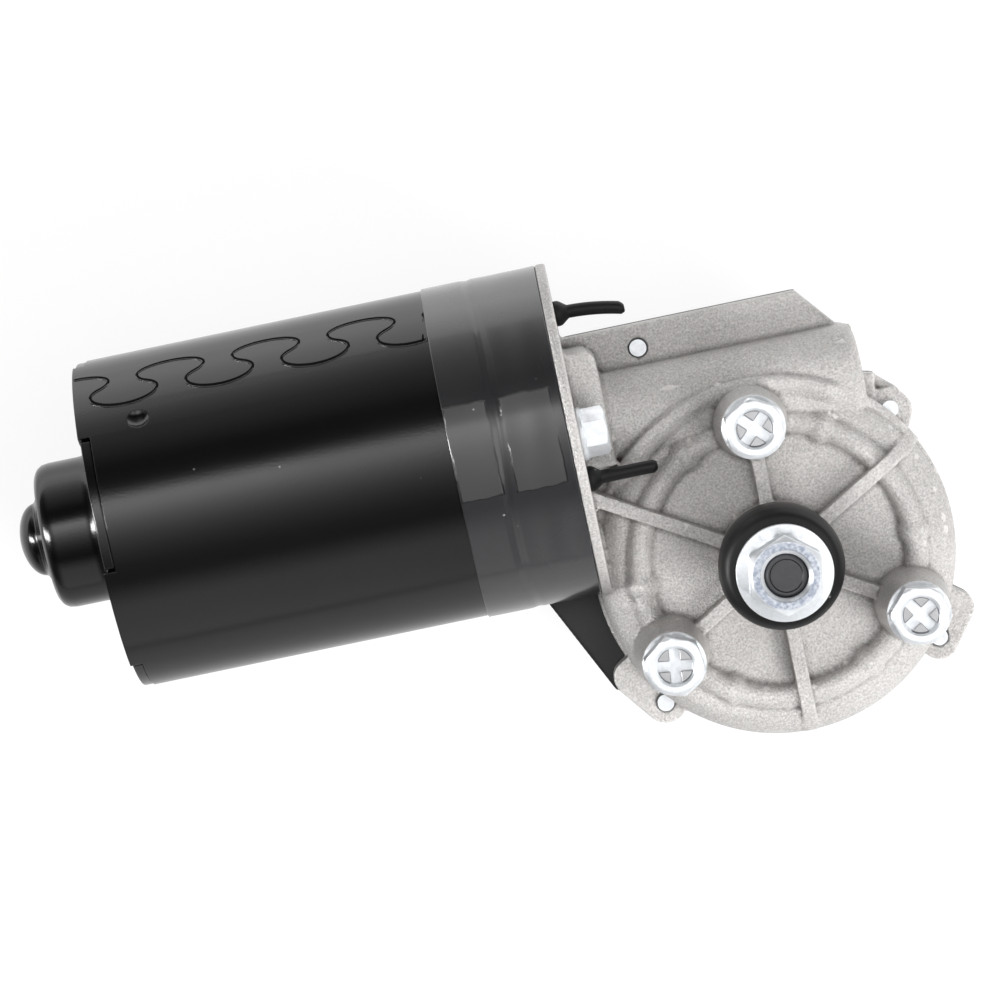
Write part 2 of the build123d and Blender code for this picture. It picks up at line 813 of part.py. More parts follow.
def motor_tube():
    front = flange_back - gasket_thickness
    tube = ring(tube_radius, tube_radius - tube_wall, tube_rear, front) - lanced_dent()
    for turn in notch_turns():
        cut = extrude(wedge(tube_radius, 0, notch_span), notch_depth + 1)
        tube -= turn * Pos(0, 0, tube_rear - 1) * cut
    return on_motor(tube) - seam_groove()


def end_bell():
    """The disc, its four tabs, the bearing cup and the small dome over the shaft's end."""
    outer = tube_rear + notch_depth
    inner = outer + bell_thickness - notch_depth + 0.3
    rear = outer - bell_thickness
    disc_radius = tube_radius - tube_wall - face_gap
    shoulder = (dome_radius - 0.6, cup_face - 2.2)
    outside = [
        (0, outer), (disc_radius, outer), (disc_radius, rear), (cup_radius + 1.6, rear),
        (cup_radius, rear - 2.5), (cup_radius, cup_face), (dome_radius, cup_face),
        shoulder, (3.0, dome_tip), (0, dome_tip),
    ]
    bell = turned(outside, [((cup_radius, cup_face), 2.6), (shoulder, 1.8), ((3.0, dome_tip), 1.4)])
    cup_inside = cup_radius - cup_wall
    dome_inside = dome_radius - cup_wall
    seat = cup_face + cup_wall
    dome_roof = dome_tip + cup_wall + 0.2
    hollow = [
        (0, outer + 1), (cup_inside, outer + 1), (cup_inside, seat),
        (dome_inside, seat), (dome_inside - 1.4, dome_roof), (0, dome_roof),
    ]
    bell -= turned(hollow, [((cup_inside, seat), 1.2)])
    for turn in notch_turns():
        tab = sector(tube_radius - 0.2, disc_radius - 1, 0, notch_span - 2, rear, outer)
        bell += turn * tab
    return on_motor(bell)


def rear_bearing_place():
    """The ball-shaped bush sits in the mouth of the dome."""
    mouth = dome_radius - cup_wall
    return cup_face + cup_wall + sqrt(rear_ball_radius**2 - mouth**2) + face_gap


def rear_bearing():
    place = rear_bearing_place()
    ball = Pos(0, 0, place) * Sphere(rear_ball_radius)
    ball &= disc(rear_ball_radius, place - rear_ball_half_length, place + rear_ball_half_length)
    return on_motor(ball - disc(rear_journal_radius + running_fit, place - 20, place + 20))


def bearing_retainer():
    """A star washer that holds the ball bush in its seat."""
    place = rear_bearing_place() + 2.4
    inner = sqrt(rear_ball_radius**2 - 2.4**2) + 0.02
    star = ring(cup_radius - cup_wall, inner, place, place + 0.6)
    gap = Box(2.4, 1.6, 4, align=(Align.CENTER, Align.CENTER, Align.MIN))
    for turn in turns(6):
        star -= turn * Pos(inner + 0.2, 0, place - 1) * gap
    return on_motor(star)


def shaft_rear():
    return rear_bearing_place() - rear_ball_half_length - 0.6


def thrust_ball():
    radius = (shaft_rear() - (dome_tip + cup_wall + 0.2)) / 2 - slide_fit
    return on_motor(Pos(0, 0, shaft_rear() - radius) * Sphere(radius))


def magnets():
    outer = tube_radius - tube_wall
    inner = outer - magnet_thickness
    return [on_motor(sector(outer, inner, side, magnet_span, magnet_rear, magnet_front)) for side in (90, 270)]


def magnet_clips():
    """Spring clips that press the two magnets apart."""
    outer = tube_radius - tube_wall
    span = 180 - magnet_span
    rear = magnet_rear + clip_inset
    depth = magnet_thickness - 1.5
    leg = Box(depth, clip_thickness, magnet_length - 2 * clip_inset, align=(Align.MAX, Align.CENTER, Align.MIN))
    clips = []
    for side in (0, 180):
        bow = sector(outer, outer - clip_thickness, side, span - 0.6, rear, magnet_front - clip_inset)
        for edge in (-1, 1):
            turn = Rot(0, 0, side + edge * (span / 2 - 1.7))
            bow += turn * Pos(outer - 0.4, 0, rear) * leg
        clips.append(on_motor(bow))
    return clips


def tube_gasket():
    front = flange_back - gasket_thickness
    return on_motor(ring(tube_radius, tube_radius - tube_wall, front, flange_back))


def seal_band():
    return on_motor(ring(tube_radius + band_thickness, tube_radius, flange_back - band_length, flange_back))


def front_plate():
    """The plate pressed into the tube's mouth, tapped for the tie screws."""
    front = flange_back
    rear = front - gasket_thickness - front_plate_thickness
    plate = ring(tube_radius - tube_wall - face_gap, bush_radius + 1, rear, front)
    plate = on_motor(plate)
    for place in tie_places():
        plate -= place * Rot(0, 90, 0) * disc(tie_radius, rear - 1, front + 1)
    return plate


# ---- Armature


def worm_thread():
    """A single-start right-hand thread whose crest meets the wheel's tooth gap at X = 0."""
    lead = pi * module
    at_pitch = lead / 2 - backlash / 2
    slope = tan(radians(pressure_angle))
    root = worm_pitch_radius - dedendum - 0.4
    tip = worm_pitch_radius + addendum
    root_half = at_pitch / 2 + (worm_pitch_radius - root) * slope
    tip_half = at_pitch / 2 - addendum * slope
    corners = [(root, -root_half), (tip, -tip_half), (tip, tip_half), (root, root_half)]
    profile = make_face(Polyline(*corners, close=True))
    start = -(worm_turns / 2 + 0.75) * lead
    helix = Pos(0, 0, start) * Helix(lead, worm_turns * lead, worm_pitch_radius)
    return sweep(Plane.XZ * Pos(0, start) * profile, path=helix, is_frenet=True)


def worm_shaft():
    """The armature shaft with its journals and the worm cut into it."""
    rear = shaft_rear()
    worm_start = -(worm_turns / 2 + 1.2) * pi * module
    root = worm_pitch_radius - dedendum
    nose_start = tunnel_end - tunnel_end_wall - 7.0
    nose_tip = tunnel_end - tunnel_end_wall - 1.8
    points = [
        (0, rear), (rear_journal_radius - 0.5, rear), (rear_journal_radius, rear + 0.5),
        (rear_journal_radius, tube_rear + 4), (journal_radius, tube_rear + 4),
        (journal_radius, worm_start - 0.8), (root, worm_start + 0.4),
        (root, nose_start), (nose_radius, nose_start), (nose_radius, nose_tip - 0.4),
        (nose_radius - 0.4, nose_tip), (0, nose_tip),
    ]
    return on_motor(turned(points) + worm_thread())


def core_slots(radius, low, high):
    """The round bottoms of the winding slots."""
    return [turn * Pos(core_radius - 4.4, 0) * disc(radius, low, high) for turn in turns(slot_count)]


def lamination_core():
    core = ring(core_radius, journal_radius, core_rear, core_front)
    mouth = Box(6, 1.8, core_front - core_rear + 2, align=(Align.MIN, Align.CENTER, Align.MIN))
    for turn, slot in zip(turns(slot_count), core_slots(2.6, core_rear - 1, core_front + 1)):
        core -= slot
        core -= turn * Pos(core_radius - 3, 0, core_rear - 1) * mouth
    return on_motor(core)


def windings():
    """The copper in the slots and the rounded end turns."""
    inner = journal_radius + 1.0
    outer = winding_radius
    front_end = core_front + winding_overhang
    rear_end = core_rear - winding_overhang
    front = [(inner, core_front), (outer, core_front), (outer, front_end), (inner, front_end)]
    rear = [(inner, core_rear), (outer, core_rear), (outer, rear_end), (inner, rear_end)]
    coil = turned(front, [((outer, front_end), 3.0)])
    coil += turned(rear, [((outer, rear_end), 3.0)])
    for bar in core_slots(2.4, core_rear - 1, core_front + 1):
        coil += bar
    return on_motor(coil)


def shaft_collars():
    """Insulating sleeves under the end turns."""
    outer = journal_radius + 1.0
    front = ring(outer, journal_radius, core_front, core_front + winding_overhang)
    rear = ring(outer, journal_radius, core_rear - winding_overhang, core_rear)
    return [on_motor(front), on_motor(rear)]


def commutator():
    """Copper segments, one to a slot, with risers for the winding ends."""
    front = commutator_front
    rear = front - commutator_length
    inner = commutator_radius - 3.0
    copper = ring(commutator_radius, inner, rear, front)
    copper += ring(commutator_radius + 1.4, inner, rear - 2.0, rear)
    cut = Box(40, commutator_slot, commutator_length + 6, align=(Align.MIN, Align.CENTER, Align.MIN))
    for turn in turns(slot_count, 15):
        copper -= turn * Pos(0, 0, rear - 3) * cut
    return on_motor(copper)


def commutator_hub():
    rear = commutator_front - commutator_length - 2.0
    return on_motor(ring(commutator_radius - 3.0, journal_radius, rear, commutator_front))


def armature_washers():
    rear = rear_bearing_place() + rear_ball_half_length + slide_fit
    rear_washer = ring(7.0, rear_journal_radius, rear, rear + washer_thickness)
    front = flange_back + 0.3 - slide_fit
    front_washer = ring(7.5, journal_radius, front - washer_thickness, front)
    return [on_motor(rear_washer), on_motor(front_washer)]


def worm_bearing():
    return on_motor(ring(bush_radius, journal_radius + running_fit, flange_back + 0.3, neck_end + 0.6))


def nose_bush():
    end = tunnel_end - tunnel_end_wall
    return on_motor(ring(worm_bore, nose_radius + running_fit, end - 6.6, end - 1.9))


def thrust_pad():
    end = tunnel_end - tunnel_end_wall
    return on_motor(disc(worm_bore - slide_fit, end - 1.7, end))


# ---- Brush gear, drawn about Z with the brush along X, for the side that faces +Z and then -Z


def brush_sides():
    return (180, 0)


def brush():
    inner = commutator_radius + slide_fit
    block = Box(brush_length + 1, brush_breadth, brush_width, align=(Align.MIN, Align.CENTER, Align.CENTER))
    block = Pos(inner - 1, 0, brush_centre) * block
    return block - disc(inner, brush_centre - brush_width, brush_centre + brush_width)


def brush_holder():
    low = commutator_radius + 2.5
    wide = brush_breadth + 2 * (slide_fit + holder_wall)
    deep = brush_width + 2 * (slide_fit + holder_wall)
    reach = holder_outer - low
    box = Box(reach, wide, deep, align=(Align.MIN, Align.CENTER, Align.CENTER))
    inside = Box(
        reach + 1 - holder_wall,
        brush_breadth + 2 * slide_fit,
        brush_width + 2 * slide_fit,
        align=(Align.MIN, Align.CENTER, Align.CENTER),
    )
    return Pos(low, 0, brush_centre) * box - Pos(low - 1, 0, brush_centre) * inside


def brush_spring():
    """A coil spring between the brush and the holder's end."""
    low = commutator_radius + slide_fit + brush_length
    high = holder_outer - holder_wall
    wire = 0.35
    coil_radius = 2.4
    coils = 4
    height = high - low - 2 * wire - 0.02
    helix = Helix(height / coils, height, coil_radius)
    start = Plane(helix @ 0, z_dir=helix % 0)
    coil = sweep(start * Circle(wire), path=helix, is_frenet=True)
    return Pos(low + wire + 0.01, 0, brush_centre) * Rot(0, 90, 0) * coil


def brush_plate():
    """The moulded disc that carries the holders, with posts that stand on the front plate."""
    face = brush_centre + brush_width / 2 + slide_fit + holder_wall
    outer = tube_radius - tube_wall - loose_fit
    plate = ring(outer, commutator_radius + 0.8, face, face + brush_plate_thickness)
    post_end = flange_back - gasket_thickness - front_plate_thickness
    for turn in turns(4, 45):
        plate += turn * Pos(outer - 3.8, 0) * disc(1.8, face, post_end)
    return on_motor(plate)


def plate_front():
    return brush_centre + brush_width / 2 + slide_fit + holder_wall + brush_plate_thickness


def choke(side):
    """A ferrite rod wound with thick wire, standing on the brush plate."""
    place = Rot(0, 0, side) * Pos(part_circle - 0.5, 0)
    low = plate_front()
    rod = disc(1.6, low, low + 8.0)
    for k in range(6):
        rod += Pos(0, 0, low + 1.6 + k) * Torus(1.9, 0.45)
    return on_motor(place * rod)


def capacitor():
    can = Pos(part_circle, 0, plate_front()) * Box(4.0, 8.0, 6.5, align=(Align.CENTER, Align.CENTER, Align.MIN))
    return on_motor(Rot(0, 0, 120) * fillet(can.edges().filter_by(Axis.Z), 1.2))


def circuit_breaker():
    case = Pos(part_circle, 0, plate_front()) * Box(5.0, 9.0, 5.0, align=(Align.CENTER, Align.CENTER, Align.MIN))
    return on_motor(Rot(0, 0, 300) * chamfer(case.faces().sort_by(Axis.Z)[-1].edges(), 0.5))


def main():
    os.makedirs("parts", exist_ok=True)
    write("gear_housing", gear_housing())
    write("gear_cover", gear_cover())
    write("cover_gasket", cover_gasket())
    write("cover_screws", *cover_screws())
    write("connector_shell", connector_shell())
    write("terminal_pins", *terminal_pins())
    write("contact_board", contact_board())
    write("park_contacts", *park_contacts())

    write("worm_wheel", worm_wheel())
    write("park_disc", park_disc())
    write("output_shaft", output_shaft())
    write("output_washers", *shaft_washers())
    write("circlip", circlip())
    write("dust_cap", dust_cap())
    write("shaft_nut", shaft_nut())
    upper_bush, lower_bush = output_bushes()
    write("upper_output_bush", upper_bush)
    write("lower_output_bush", lower_bush)

    write("mounting_bolts", *mounting_bolts())
    write("tie_screws", *tie_screws())
    write("upper_vent_pipe", vent_pipe(vent_places[0], 25))
    write("lower_vent_pipe", vent_pipe(vent_places[1], 0))

    write("motor_tube", motor_tube())
    write("end_bell", end_bell())
    write("rear_bearing", rear_bearing())
    write("bearing_retainer", bearing_retainer())
    write("thrust_ball", thrust_ball())
    write("magnets", *magnets())
    write("magnet_clips", *magnet_clips())
    write("tube_gasket", tube_gasket())
    write("seal_band", seal_band())
    write("front_plate", front_plate())

    write("worm_shaft", worm_shaft())
    write("lamination_core", lamination_core())
    write("armature_windings", windings())
    write("shaft_collars", *shaft_collars())
    write("commutator_segments", commutator())
    write("commutator_hub", commutator_hub())
    write("armature_washers", *armature_washers())
    write("worm_bearing", worm_bearing())
    write("nose_bush", nose_bush())
    write("thrust_pad", thrust_pad())

    for name, side in zip(("front", "back"), brush_sides()):
        write(f"brush_{name}", on_motor(Rot(0, 0, side) * brush()))
        write(f"brush_holder_{name}", on_motor(Rot(0, 0, side) * brush_holder()))
        write(f"brush_spring_{name}", on_motor(Rot(0, 0, side) * brush_spring()))
        write(f"choke_{name}", choke(side + 60))
    write("brush_plate", brush_plate())
    write("capacitor", capacitor())
    write("circuit_breaker", circuit_breaker())


main()
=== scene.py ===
import json
from math import atan2, cos, pi, radians, sin, sqrt, tau

import bmesh
import bpy
from bpy.props import FloatProperty, FloatVectorProperty, IntProperty, PointerProperty
from mathutils import Matrix, Vector


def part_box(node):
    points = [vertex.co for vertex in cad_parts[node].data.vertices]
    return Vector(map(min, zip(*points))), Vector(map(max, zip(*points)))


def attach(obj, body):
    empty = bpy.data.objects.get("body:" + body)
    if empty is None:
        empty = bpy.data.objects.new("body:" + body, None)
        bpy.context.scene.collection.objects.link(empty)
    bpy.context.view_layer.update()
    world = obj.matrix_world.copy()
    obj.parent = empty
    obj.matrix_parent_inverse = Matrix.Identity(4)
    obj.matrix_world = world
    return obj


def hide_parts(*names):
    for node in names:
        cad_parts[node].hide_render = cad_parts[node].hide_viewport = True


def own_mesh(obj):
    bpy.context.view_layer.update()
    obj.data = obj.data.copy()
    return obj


bl_info = {
    "name": "Wiper Motor Dressing",
    "version": (1, 0, 0),
    "blender": (4, 5, 0),
    "location": "View3D > Sidebar > Wiper Motor",
    "description": "Dresses the frame of a wiper motor: casting, fasteners, rubber, film, paint and stage",
    "category": "Object",
}

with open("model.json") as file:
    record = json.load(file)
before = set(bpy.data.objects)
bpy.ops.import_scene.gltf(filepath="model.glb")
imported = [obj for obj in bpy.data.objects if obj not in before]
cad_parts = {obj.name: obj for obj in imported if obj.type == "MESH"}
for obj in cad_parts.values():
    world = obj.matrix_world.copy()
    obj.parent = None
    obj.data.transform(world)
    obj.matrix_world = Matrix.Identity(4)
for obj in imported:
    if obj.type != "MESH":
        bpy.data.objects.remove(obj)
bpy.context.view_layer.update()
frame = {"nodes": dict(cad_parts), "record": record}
NODES = frame["nodes"]

MM = 0.001
TUBE_LOW, TUBE_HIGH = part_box("motor_tube")
BAND_LOW, BAND_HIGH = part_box("seal_band")
CAP_LOW, CAP_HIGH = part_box("dust_cap")
NUT_LOW, NUT_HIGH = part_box("shaft_nut")
BOLTS_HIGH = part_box("mounting_bolts")[1]
TIES_LOW, TIES_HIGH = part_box("tie_screws")
BELL_LOW, BELL_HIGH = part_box("end_bell")
MOTOR_AXIS = (TUBE_LOW + TUBE_HIGH) / 2
TUBE_RADIUS = (TUBE_HIGH.y - TUBE_LOW.y) / 2
BAND_RADIUS = (BAND_HIGH.y - BAND_LOW.y) / 2
FLOOR_HEIGHT = min(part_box(node)[0].z for node in NODES)

# The finish of each node, by its material slot in the record
FINISH_OF_NODE = {entry["node"]: entry["material_slot"] for entry in frame["record"]["subparts"]}


# ---- Sizes and colours that a user would change


def length(name, description, default):
    return FloatProperty(name=name, description=description, default=default, unit="LENGTH", precision=5)


def colour(name, description, default):
    return FloatVectorProperty(name=name, description=description, default=default, size=3, subtype="COLOR")


def power(name, description, default):
    return FloatProperty(name=name, description=description, default=default, unit="POWER")


class MotorSizes(bpy.types.PropertyGroup):
    casting_voxel: length("Casting Voxel", "Voxel that softens the casting's edges", 0.40 * MM)
    cover_voxel: length("Cover Voxel", "Voxel that softens the moulded cover's edges", 0.5 * MM)
    bolt_flats: length("Bolt Flats", "Width across the mounting bolts' flats", 10.2 * MM)
    bolt_flange: length("Bolt Flange", "Radius of the mounting bolts' flange", 5.9 * MM)
    bolt_dish: length("Bolt Dish", "Radius of the dish in the bolt's head", 3.3 * MM)
    bolt_cross: length("Bolt Cross", "Width of the cross recess", 1.9 * MM)
    nut_flats: length("Nut Flats", "Width across the shaft nut's flats", 13.0 * MM)
    nut_bore: length("Nut Bore", "Radius of the nut's threaded bore", 4.0 * MM)
    tie_flats: length("Tie Screw Flats", "Width across the tie screws' flats", 8.0 * MM)
    tie_flange: length("Tie Screw Flange", "Radius of the tie screws' flange", 5.0 * MM)
    edge_round: length("Edge Rounding", "Rounding of the fasteners' edges", 0.22 * MM)
    film_swell: length("Film Swell", "How far the shrink film stands off the tube", 0.3 * MM)
    lathe_steps: IntProperty(name="Lathe Steps", description="Steps round a turned piece", default=96, min=24)


class MotorColours(bpy.types.PropertyGroup):
    casting: colour("Casting", "Die-cast aluminium", (0.70, 0.68, 0.665))
    paint: colour("Paint", "Black paint of the tube", (0.003, 0.003, 0.0033))
    film: colour("Film", "Dark grey shrink film", (0.014, 0.014, 0.0155))
    plastic: colour("Plastic", "Moulded black plastic", (0.008, 0.008, 0.0085))
    rubber: colour("Rubber", "Black rubber", (0.004, 0.004, 0.0044))
    zinc: colour("Zinc", "Bright zinc plate", (0.87, 0.895, 0.925))


class StageSettings(bpy.types.PropertyGroup):
    studio_brightness: FloatProperty(
        name="Studio Brightness", description="Brightness of the softbox's brightest edge", default=3.0
    )
    corner_power: power("Corner Power", "Power of the corner lamp", 12.0)
    fill_power: power("Fill Power", "Power of the overhead fill", 3.4)
    box_power: power("Box Power", "Power of the right softbox", 1.5)
    side_power: power("Side Power", "Power of the side strip", 7.0)
    floor: colour("Floor", "Pale floor", (0.62, 0.62, 0.62))


# ---- Node helpers

NUMBER, VECTOR, COLOUR = "NodeSocketFloat", "NodeSocketVector", "NodeSocketColor"


def put(tree, kind, values=None, **settings):
    """Adds a node, sets its fields, and fills its inputs with values or links."""
    node = tree.nodes.new(kind)
    for field, value in settings.items():
        setattr(node, field, value)
    for socket, value in (values or {}).items():
        if isinstance(value, bpy.types.NodeSocket):
            tree.links.new(value, node.inputs[socket])
        else:
            node.inputs[socket].default_value = value
    return node


def new_group(name, defaults, results):
    """An empty node group with an input for each default and an output for each result, and its inputs."""
    tree = bpy.data.node_groups.new(name, "ShaderNodeTree")
    for label, value in defaults.items():
        kind = {3: VECTOR, 4: COLOUR}[len(value)] if isinstance(value, tuple) else NUMBER
        tree.interface.new_socket(name=label, in_out="INPUT", socket_type=kind).default_value = value
    for label in results:
        tree.interface.new_socket(name=label, in_out="OUTPUT", socket_type=COLOUR if label == "Color" else NUMBER)
    return tree, put(tree, "NodeGroupInput").outputs


def use_group(tree, name, values):
    """Adds one of the node groups below, with its inputs by their labels."""
    return put(tree, "ShaderNodeGroup", values, node_tree=bpy.data.node_groups[name])


def empty_tree(owner):
    """The cleared node tree of a material or a world."""
    owner.use_nodes = True
    owner.node_tree.nodes.clear()
    return owner.node_tree


def surface_place(tree):
    """The place on the surface, in metres from the object's origin."""
    return put(tree, "ShaderNodeTexCoord").outputs["Object"]


def split(tree, where):
    """The X, Y and Z of a place."""
    return put(tree, "ShaderNodeSeparateXYZ", {0: where}).outputs


def math(tree, operation, first, second, **settings):
    return put(tree, "ShaderNodeMath", {0: first, 1: second}, operation=operation, **settings).outputs[0]


def product(tree, first, *others):
    for other in others:
        first = math(tree, "MULTIPLY", first, other)
    return first


def mix_numbers(tree, factor, first, second):
    return put(tree, "ShaderNodeMix", {0: factor, 2: first, 3: second}, data_type="FLOAT").outputs[0]


def mix_colours(tree, factor, first, second):
    return put(tree, "ShaderNodeMix", {0: factor, 6: first, 7: second}, data_type="RGBA").outputs[2]


def noise(tree, where, scale, detail=2.0, roughness=0.5):
    values = {"Vector": where, "Scale": scale, "Detail": detail, "Roughness": roughness}
    return put(tree, "ShaderNodeTexNoise", values).outputs["Fac"]


def spread(tree, value, low, high, to_low, to_high):
    """Maps a range of values on to another, and stops at its ends."""
    values = {"Value": value, "From Min": low, "From Max": high, "To Min": to_low, "To Max": to_high}
    return put(tree, "ShaderNodeMapRange", values, clamp=True).outputs[0]


def mottle_group():
    """Tone: a colour that drifts and speckles over the surface, with a roughness and a height to match."""
    defaults = {
        "Tone": (0.5, 0.5, 0.5, 1.0), "Dark Tone": (0.4, 0.4, 0.4, 1.0), "Grain Scale": 1800.0,
        "Grain Amount": 0.5, "Drift Scale": 60.0, "Drift Amount": 0.3, "Roughness": 0.5, "Roughness Change": 0.1,
    }
    tree, take = new_group("Mottle", defaults, ("Color", "Roughness", "Height"))
    where = surface_place(tree)
    grain = noise(tree, where, take["Grain Scale"], 3.0, 0.65)
    drift = spread(tree, noise(tree, where, take["Drift Scale"]), 0.3, 0.7, 0.0, 1.0)
    grain_part = product(tree, spread(tree, grain, 0.32, 0.68, 0.0, 1.0), take["Grain Amount"])
    drift_part = product(tree, drift, take["Drift Amount"])
    factor = math(tree, "ADD", grain_part, drift_part, use_clamp=True)
    change = product(tree, math(tree, "SUBTRACT", drift, 0.5), take["Roughness Change"])
    results = {
        "Color": mix_colours(tree, factor, take["Tone"], take["Dark Tone"]),
        "Roughness": math(tree, "ADD", take["Roughness"], change),
        "Height": grain,
    }
    put(tree, "NodeGroupOutput", results)


def drawn_lines_group():
    """Fine lines that run round or along a piece, as turning or drawing leaves them."""
    defaults = {"Stretch": (1.0, 1.0, 1.0), "Scale": 400.0, "Roughness": 0.3, "Roughness Change": 0.1}
    tree, take = new_group("Drawn Lines", defaults, ("Roughness", "Height"))
    values = {"Vector": surface_place(tree), "Scale": take["Stretch"]}
    lines = noise(tree, put(tree, "ShaderNodeMapping", values).outputs[0], take["Scale"], 3.0, 0.6)
    change = product(tree, math(tree, "SUBTRACT", lines, 0.5), take["Roughness Change"])
    roughness = math(tree, "ADD", take["Roughness"], change)
    put(tree, "NodeGroupOutput", {"Roughness": roughness, "Height": lines})


def dust_group():
    """Sparse pale specks, as dust lies on black parts."""
    defaults = {"Color": (0.0, 0.0, 0.0, 1.0), "Dust": (0.3, 0.3, 0.3, 1.0), "Amount": 0.5}
    tree, take = new_group("Dust Specks", defaults, ("Color",))
    where = surface_place(tree)
    cells = put(tree, "ShaderNodeTexVoronoi", {"Vector": where, "Scale": 260.0}, feature="F1")
    speck = spread(tree, cells.outputs["Distance"], 0.03, 0.07, 1.0, 0.0)
    rare = spread(tree, noise(tree, where, 90.0), 0.55, 0.62, 0.0, 1.0)
    mask = product(tree, speck, rare, take["Amount"])
    put(tree, "NodeGroupOutput", {"Color": mix_colours(tree, mask, take["Color"], take["Dust"])})


def crease_shade_and_edge_highlight_group():
    """Painted shade in creases and painted highlights on edges, read from how sharply the surface folds."""
    defaults = {
        "Color": (0.5, 0.5, 0.5, 1.0), "Crease Shade Tone": (0.1, 0.1, 0.1, 1.0), "Edge Highlight Tone": (0.9, 0.9, 0.9, 1.0),
        "Crease Shade Amount": 0.8, "Edge Highlight Amount": 0.5,
    }
    tree, take = new_group("Painted Crease Shade and Edge Highlight", defaults, ("Color",))
    # Pointiness reads 0.5 where the surface is flat, less in a crease and more on an edge
    fold = put(tree, "ShaderNodeNewGeometry").outputs["Pointiness"]
    wobble = math(tree, "SUBTRACT", noise(tree, surface_place(tree), 500.0), 0.5)
    fold = math(tree, "ADD", fold, product(tree, wobble, 0.02))
    # Painted shade darkens the creases, and a painted highlight lightens the sharp edges
    crease = product(tree, spread(tree, fold, 0.43, 0.494, 1.0, 0.0), take["Crease Shade Amount"])
    edge = product(tree, spread(tree, fold, 0.515, 0.57, 0.0, 1.0), take["Edge Highlight Amount"])
    crease_shaded = mix_colours(tree, crease, take["Color"], take["Crease Shade Tone"])
    put(tree, "NodeGroupOutput", {"Color": mix_colours(tree, edge, crease_shaded, take["Edge Highlight Tone"])})


def patch_group():
    """The height, in metres, of a rectangle where a film round the motor's axis lies flat."""
    defaults = {
        "Rear": 0.0, "Front": 0.0, "Low Angle": 0.0, "High Angle": 0.0, "Facing Angle": 0.0, "Radius": 0.03,
        "Flatness": 0.85,
    }
    tree, take = new_group("Flat Patch", defaults, ("Height",))
    where = surface_place(tree)
    parts = split(tree, where)
    over = math(tree, "SUBTRACT", parts["Y"], MOTOR_AXIS.y)
    angle = math(tree, "ARCTAN2", over, math(tree, "SUBTRACT", parts["Z"], MOTOR_AXIS.z))
    wobble = math(tree, "SUBTRACT", noise(tree, where, 260.0), 0.5)
    along = math(tree, "ADD", parts["X"], product(tree, wobble, 0.6 * MM))
    round_angle = math(tree, "ADD", angle, product(tree, wobble, 0.05))

    def inside(value, low, high, soft):
        """One within a range, falling to nothing over a soft margin."""
        rise = math(tree, "DIVIDE", math(tree, "SUBTRACT", value, low), soft)
        drop = math(tree, "DIVIDE", math(tree, "SUBTRACT", high, value), soft)
        return math(tree, "ADD", math(tree, "MINIMUM", rise, drop), 0.0, use_clamp=True)

    lengthways = inside(along, take["Rear"], take["Front"], 0.3 * MM)
    sideways = inside(round_angle, take["Low Angle"], take["High Angle"], 0.01)
    turned = math(tree, "SUBTRACT", angle, take["Facing Angle"])
    flat = product(tree, turned, turned, 0.5, take["Radius"], take["Flatness"])
    put(tree, "NodeGroupOutput", {"Height": product(tree, flat, product(tree, lengthways, sideways))})


# ---- Finishes


class Finish:
    """A material in the making: a Principled BSDF, and the groups that feed it."""

    def __init__(self, name, metallic=0.0, **plain):
        self.tree = empty_tree(bpy.data.materials.new(name + "_finish"))
        self.shader = put(self.tree, "ShaderNodeBsdfPrincipled", {"Metallic": metallic, **plain})
        put(self.tree, "ShaderNodeOutputMaterial", {"Surface": self.shader.outputs[0]})

    def feed(self, socket, value):
        self.tree.links.new(value, self.shader.inputs[socket])

    def mottle(self, tone, dark, **values):
        """Feeds colour and roughness from the mottle group, and returns its height."""
        inputs = {label.replace("_", " ").title(): value for label, value in values.items()}
        inputs.update({"Tone": (*tone, 1.0), "Dark Tone": (*(part * dark for part in tone), 1.0)})
        group = use_group(self.tree, "Mottle", inputs)
        self.colour = group.outputs["Color"]
        self.feed("Base Color", self.colour)
        self.feed("Roughness", group.outputs["Roughness"])
        return group.outputs["Height"]

    def dust(self, amount):
        group = use_group(self.tree, "Dust Specks", {"Color": self.colour, "Amount": amount})
        self.feed("Base Color", group.outputs["Color"])

    def lines(self, stretch, scale, roughness, change):
        inputs = {"Stretch": stretch, "Scale": scale, "Roughness": roughness, "Roughness Change": change}
        group = use_group(self.tree, "Drawn Lines", inputs)
        self.feed("Roughness", group.outputs["Roughness"])
        return group.outputs["Height"]

    def paint_crease_shade_and_edge_highlight(self, crease, edge, crease_shade_amount, edge_highlight_amount):
        # Paints shade into the creases and highlights on to the sharp edges
        inputs = {
            "Color": self.colour, "Crease Shade Tone": (*crease, 1.0), "Edge Highlight Tone": (*edge, 1.0),
            "Crease Shade Amount": crease_shade_amount, "Edge Highlight Amount": edge_highlight_amount,
        }
        self.colour = use_group(self.tree, "Painted Crease Shade and Edge Highlight", inputs).outputs["Color"]
        self.feed("Base Color", self.colour)

    def bump(self, height, depth, strength=1.0, edge_radius=0.0):
        node = put(self.tree, "ShaderNodeBump", {"Height": height, "Distance": depth, "Strength": strength})
        if edge_radius:
            rounded = put(self.tree, "ShaderNodeBevel", {"Radius": edge_radius}, samples=4)
            self.tree.links.new(rounded.outputs[0], node.inputs["Normal"])
        self.feed("Normal", node.outputs[0])


def casting_finish(colours):
    finish = Finish("cast_aluminium", metallic=0.5)
    height = finish.mottle(
        colours.casting, 0.5, grain_scale=2400.0, grain_amount=0.85, drift_scale=55.0, drift_amount=0.22,
        roughness=0.42, roughness_change=0.14,
    )
    # Painted shade in the casting's creases and painted highlights on its edges
    finish.paint_crease_shade_and_edge_highlight((0.09, 0.08, 0.072), (0.85, 0.83, 0.81), 0.95, 0.5)
    finish.bump(height, 0.3 * MM)


